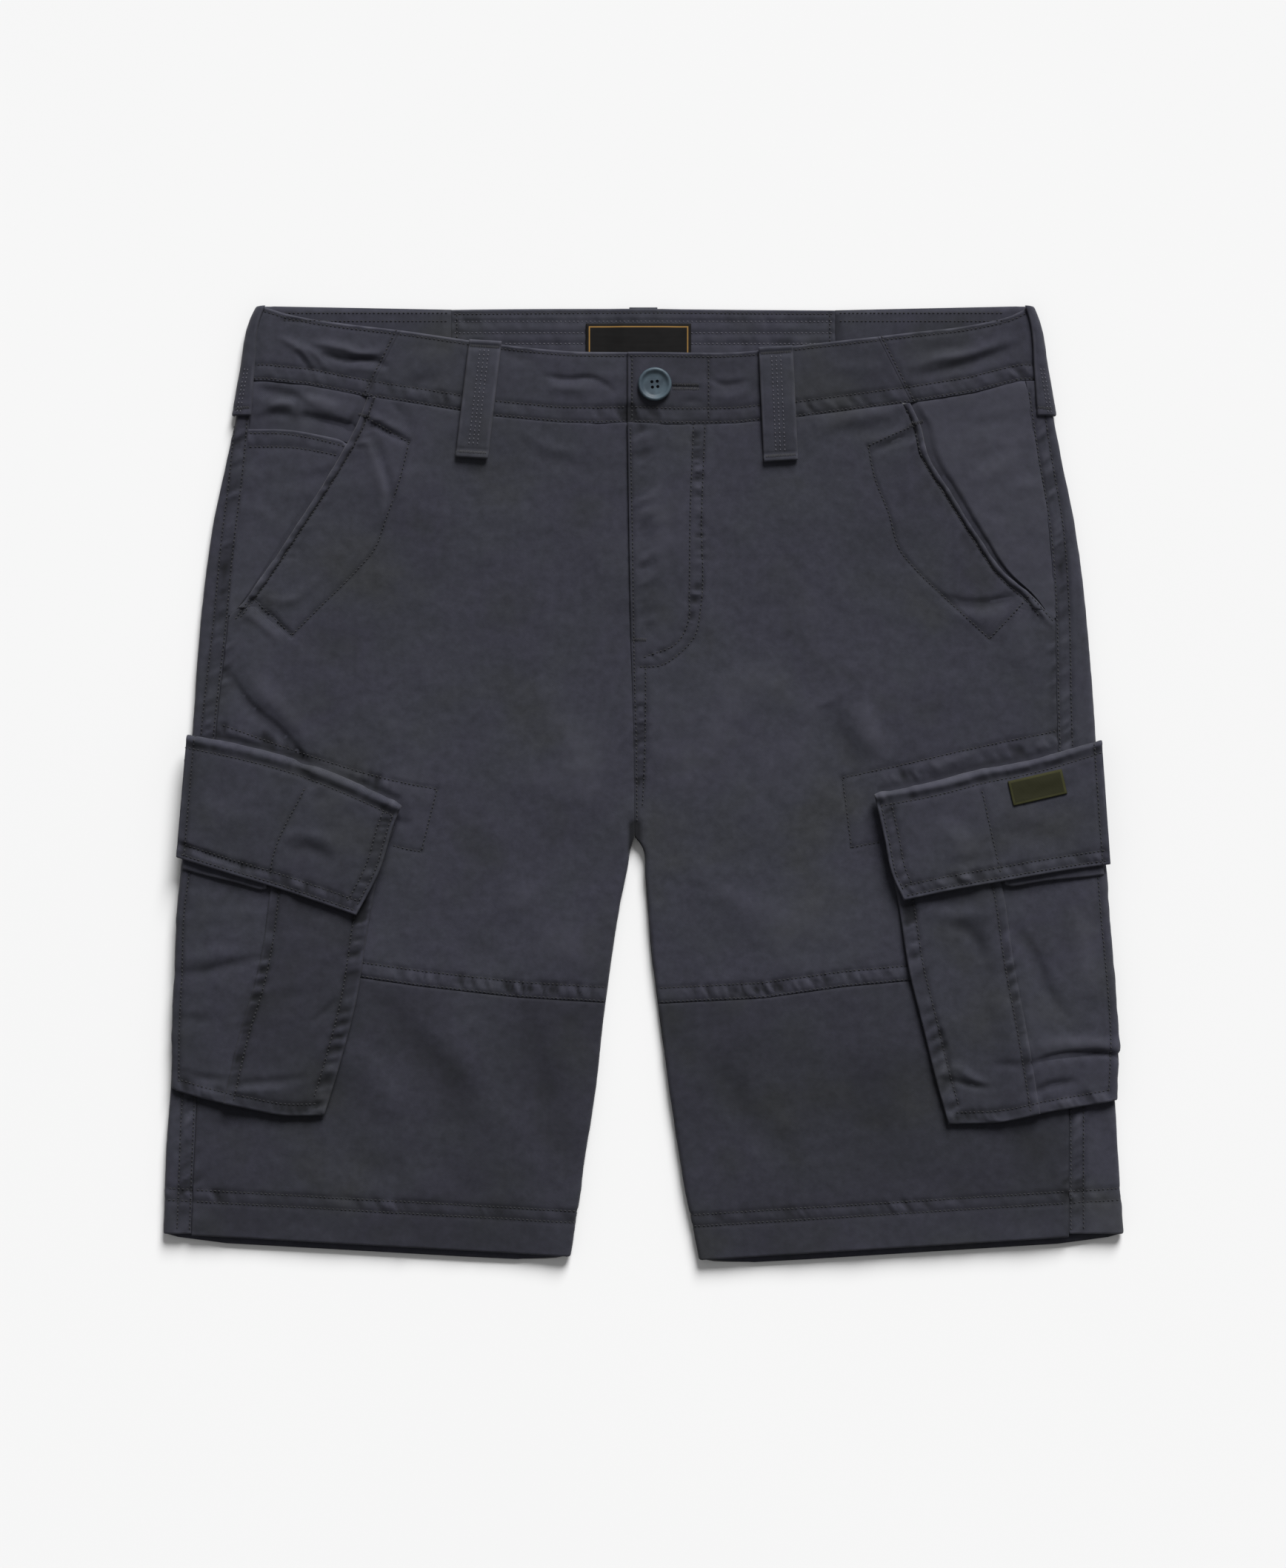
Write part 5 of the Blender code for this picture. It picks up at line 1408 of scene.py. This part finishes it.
def flap_label():
    size, turn = FLAP_LABEL, radians(FLAP_LABEL.tilt)
    look = woven_label("woven_polyester_olive", "#262617", "#34341f", (size.w, size.y),
                       (size.width, size.height), size.tilt, 0.0, 1.2)
    dx = size.width * (lines(size.width, 0.9) - 0.5)[:, None]
    dy = size.height * (0.5 - lines(size.height, 0.9))[None]
    shown = join(size.w + dx * cos(turn) - dy * sin(turn), size.y + dx * sin(turn) + dy * cos(turn),
                 FLAP_TOP + GAP + LABEL_WALL)
    return cloth("flap_label", LEFT, shown, LABEL_WALL, "seam seam seam seam", flap_form, material=look)


waist_label()
flap_label()
print("labels:", REPORT[-2:])

# %% [markdown]
# ## The button
# A moulded polyester resin button with a raised rim, a dished middle and four holes. It is a profile
# turned round, which the Spin tool would also do, with the holes cut by a Boolean. Resin is glossy where it
# is polished and its colour is slightly cloudy.

# %% Button
BUTTON_AT, BUTTON_R, BUTTON_HIGH = (6.5, 226.0), 9.5, 2.8
RIM, DISH = 1.9, 1.3
HOLE_R, HOLE_PITCH = 0.9, 2.1


def resin(name):
    made, tree, place = new_material(name, 0.52, IOR=1.5, Specular_IOR_Level=0.3)
    dress(tree, dyed(tree, noise(tree, place, 6, 3.0), ((0.35, "#323d46"), (0.7, "#45535c"))))
    return made


def turned_form(name, profile, segments, material):
    """A closed form from a profile (radius, z) turned round the z axis."""
    work = bmesh.new()
    dots = [work.verts.new((MM * radius, 0, MM * z)) for radius, z in profile]
    edges = [work.edges.new(pair) for pair in zip(dots, dots[1:])]
    bmesh.ops.spin(work, geom=dots + edges, cent=(0, 0, 0), axis=(0, 0, 1), angle=2 * pi, steps=segments)
    bmesh.ops.remove_doubles(work, verts=work.verts, dist=0.001 * MM)
    bmesh.ops.recalc_face_normals(work, faces=work.faces)
    mesh = bpy.data.meshes.new(name)
    work.to_mesh(mesh)
    work.free()
    return link(name, mesh, material)


def button():
    r, top, inner = BUTTON_R, BUTTON_HIGH, BUTTON_R - RIM
    profile = [(0, 0), (r - 2.2, 0), (r - 0.9, 0.5), (r - 0.2, 1.2), (r, 1.8), (r - 0.35, top - 0.3),
               (r - 0.9, top), (r - 1.5, top - 0.1), (inner - 0.2, top - 0.6), (inner - 0.9, DISH + 0.25),
               (inner - 2, DISH + 0.05), (0, DISH)]
    look = resin("polyester_resin_polished")
    piece, pins = turned_form("resin_button", profile, 72, look), []
    for dx, dy in ((-0.8, 0.65), (0.65, 0.8), (0.8, -0.65), (-0.65, -0.8)):
        pins.append(turned_form("pin", [(0, -1), (HOLE_R, -1), (HOLE_R, 4), (0, 4)], 20, look))
        pins[-1].location = MM * HOLE_PITCH * Vector((dx, dy, 0))
        cut = piece.modifiers.new("hole", "BOOLEAN")
        cut.object, cut.operation = pins[-1], "DIFFERENCE"
    bpy.context.view_layer.update()
    shaped = bpy.data.meshes.new_from_object(piece.evaluated_get(bpy.context.evaluated_depsgraph_get()))
    piece.modifiers.clear()
    piece.data = shaped
    for pin in pins:
        bpy.data.objects.remove(pin, do_unlink=True)
    shaped.shade_smooth()
    shaped.set_sharp_from_angle(angle=radians(50))
    piece.location = MM * Vector((*BUTTON_AT, LAID + CENTRE_LIFT + LAP_LIFT + GAP))
    bpy.context.view_layer.update()
    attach(piece, "root")
    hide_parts("button")
    return piece


print("button faces:", len(button().data.polygons))

# %% [markdown]
# ## The thread
# Each stitch is a small bead of thread, sunk into its dent. A dashed line in the material would be flat
# and would have to be painted piece by piece. Instead every row is walked at the stitch length, and a ray
# cast straight down finds the cloth under each stitch and its slope. All stitches of one colour are one
# mesh.

# %% Stitches
SEWN_ON = {             # the pieces that each layer's rows are sewn on
    "front": ("cloth_front_", "cloth_pocket_welt"), "back": ("cloth_back_panel",),
    "hip": ("cloth_hip", "cloth_coin"), "band": ("cloth_waistband_front", "cloth_waistband_side"),
    "band_back": ("cloth_waistband_back",), "band_top": ("cloth_waistband_back",),
    "pocket": ("cloth_cargo_inner", "cloth_cargo_outer"),
    "flap": ("cloth_cargo_flap",), "loop": ("cloth_belt_loop",),
}
RING = [(1, 0), (0, 1), (-1, 0), (0, -1)]
BEAD = np.array([(-0.5, 0, -0.4)] + [(e, a, b) for e in (-0.3, 0.3) for a, b in RING] + [(0.5, 0, -0.4)])
BEAD_FACES = [(0, 1, 2), (0, 2, 3), (0, 3, 4), (0, 4, 1)]
BEAD_FACES += [(1 + k, 1 + (k + 1) % 4, 5 + (k + 1) % 4, 5 + k) for k in range(4)]
BEAD_FACES += [(9, 6, 5), (9, 7, 6), (9, 8, 7), (9, 5, 8)]


def thread(name, code, worn):
    """Spun polyester thread: matt, with the twist of its plies."""
    made, tree, place = new_material(name, 0.75, Specular_IOR_Level=0.35, Sheen_Weight=0.1)
    dress(tree, blend(tree, noise(tree, place, 0.8, 1.0), code, worn))
    return made


def stitch_points(pieces, line, pitch, rng):
    """Where the stitches of one row lie: middle, direction and normal of the cloth."""
    graph = bpy.context.evaluated_depsgraph_get()
    line = np.asarray(line, float)
    run = run_along(line)
    at = np.arange(pitch / 2, run[-1], pitch)
    at += rng.normal(0, 0.04 * pitch, at.shape)
    here, ahead, behind = (np.stack([np.interp(at + shift, run, line[:, k]) for k in (0, 1)], axis=1)
                           for shift in (0.0, 0.6, -0.6))
    found = []
    for (x, y), (dx, dy) in zip(here, ahead - behind):
        hit, place, normal, _, piece, _ = bpy.context.scene.ray_cast(graph, MM * Vector((x, y, 60)),
                                                                     Vector((0, 0, -1)))
        if hit and piece.name.startswith(pieces) and dx * dx + dy * dy > 1e-6:
            found.append((np.array(place) / MM, np.array((dx, dy, 0.0)) / np.hypot(dx, dy), np.array(normal)))
    return found


def stitching(name, rows, material, pitch=2.4, length=1.4, width=0.75, lay="along"):
    """All stitches of one thread; rows are (pieces, line). A bar tack's stitches lie across its line."""
    rng = np.random.default_rng(101)
    places, faces = [], []
    for pieces, line in rows:
        for place, ahead, normal in stitch_points(pieces, line, pitch, rng):
            side_way = np.cross(normal, ahead)
            side_way /= np.linalg.norm(side_way)
            ahead = np.cross(side_way, normal)
            if lay == "across":
                ahead, side_way = side_way, -ahead
            turn = rng.normal(0, 0.09)
            ahead, side_way = ahead + turn * side_way, side_way - turn * ahead
            base = len(places) * len(BEAD)
            places.append(place + BEAD[:, :1] * length * rng.uniform(0.85, 1.15) * ahead
                          + BEAD[:, 1:2] * width / 2 * side_way + (BEAD[:, 2:] * width / 2 + 0.08) * normal)
            faces += [[base + k for k in face] for face in BEAD_FACES]
    piece = mesh_object(name, np.concatenate(places), faces, material)
    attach(piece, "root")
    print(name, "stitches:", len(places))


def rows_of(*layers):
    return [(SEWN_ON[layer], line) for layer in layers for line in ROWS[layer]]


bpy.context.view_layer.update()
# the dark thread is far darker than the cloth: it is the thread together with painted shade of its needle
# holes and dents
dark = thread("spun_polyester_thread_dark", "#101014", "#232329")
light = thread("spun_polyester_thread_light", "#3b3b45", "#57565f")
stitching("stitching_dark", rows_of("front", "back", "hip", "band", "band_top", "flap", "pocket"), dark)
stitching("stitching_light", rows_of("loop", "band_back"), light, 2.4, 1.2, 0.6)
purl = [(SEWN_ON["band"], beside(BUTTONHOLE, shift)) for shift in (-1.1, 1.1)]
tacks = [("cloth_", line) for line in FLY_TACKS + LOOP_TACKS]
stitching("stitching_tacks", tacks + purl, dark, 0.75, 2.2, 0.5, lay="across")

# %% [markdown]
# ## What stays of the solids
# The zip tape is hidden between the fly's layers, and its solid is already right, so it only gets a finish:
# black polyester tape with a fine rib.

# %% Zip tape


def polyester_tape(name):
    made, tree, place = new_material(name, 0.6)
    rib = add(tree, "TexWave", {"Vector": place, "Scale": 2 * pi / (20 * 0.8 * MM)}, "Fac",
              wave_type="BANDS", bands_direction="Y")
    dress(tree, blend(tree, rib, "#1b1b20", "#2c2c34"))
    return made


tape = polyester_tape("polyester_zip_tape")
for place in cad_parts["fly_zip"].material_slots:
    place.material = tape
print("zip tape finished")

# %% [markdown]
# ## Table, light and camera
# The shorts lie on a pale table under soft light that comes mostly from the waist side, which is what
# draws the creases. The camera looks straight down from two and a half metres, far enough that the cloth
# shows almost no perspective.

# %% Table and light


def painted_table(name):
    made, tree, place = new_material(name, 0.7, Specular_IOR_Level=0.2)
    tone = add(tree, "TexNoise", {"Vector": place, "Scale": 3.0, "Detail": 2.0}, "Fac")
    dress(tree, blend(tree, tone, "#eaeaea", "#ececec"))
    return made


bpy.ops.mesh.primitive_plane_add(size=8, location=(0, 0, -0.0006))
floor = bpy.context.object
floor.name = "floor"
floor.data.materials.append(painted_table("painted_table"))

world = bpy.data.worlds.new("studio")
bpy.context.scene.world = world
world.use_nodes = True
world.node_tree.nodes["Background"].inputs["Color"].default_value = (1, 1, 1, 1)
world.node_tree.nodes["Background"].inputs["Strength"].default_value = 0.25

sun = bpy.data.lights.new("key_light", "SUN")
sun.energy, sun.angle = 5.4, radians(28)
lamp = bpy.data.objects.new("key_light", sun)
bpy.context.scene.collection.objects.link(lamp)
lamp.location = (0.45, 1.6, 0.97)
lamp.rotation_euler = (-Vector(lamp.location)).to_track_quat("-Z", "Y").to_euler()

# %% Camera
DISTANCE, FRAME_HEIGHT, SENSOR = 2.5, 0.8891, 36.0     # m, m of table from top to foot, mm
MIDDLE_HEIGHT = 0.008                                  # m, of the garment's middle layers
camera_data = bpy.data.cameras.new("camera")
camera_data.sensor_width = SENSOR
camera_data.lens = SENSOR * (DISTANCE - MIDDLE_HEIGHT) / FRAME_HEIGHT
camera = bpy.data.objects.new("camera", camera_data)
bpy.context.scene.collection.objects.link(camera)
camera.location = (-0.0002, -0.0006, DISTANCE)
bpy.context.scene.camera = camera
bpy.context.scene.view_settings.view_transform = "Standard"
print("lens, mm:", round(camera_data.lens, 1))

# %% Sizes and finish
for name, wide, tall, faces in REPORT:
    print(f"{name}: cut {wide} x {tall} mm, {faces} faces")
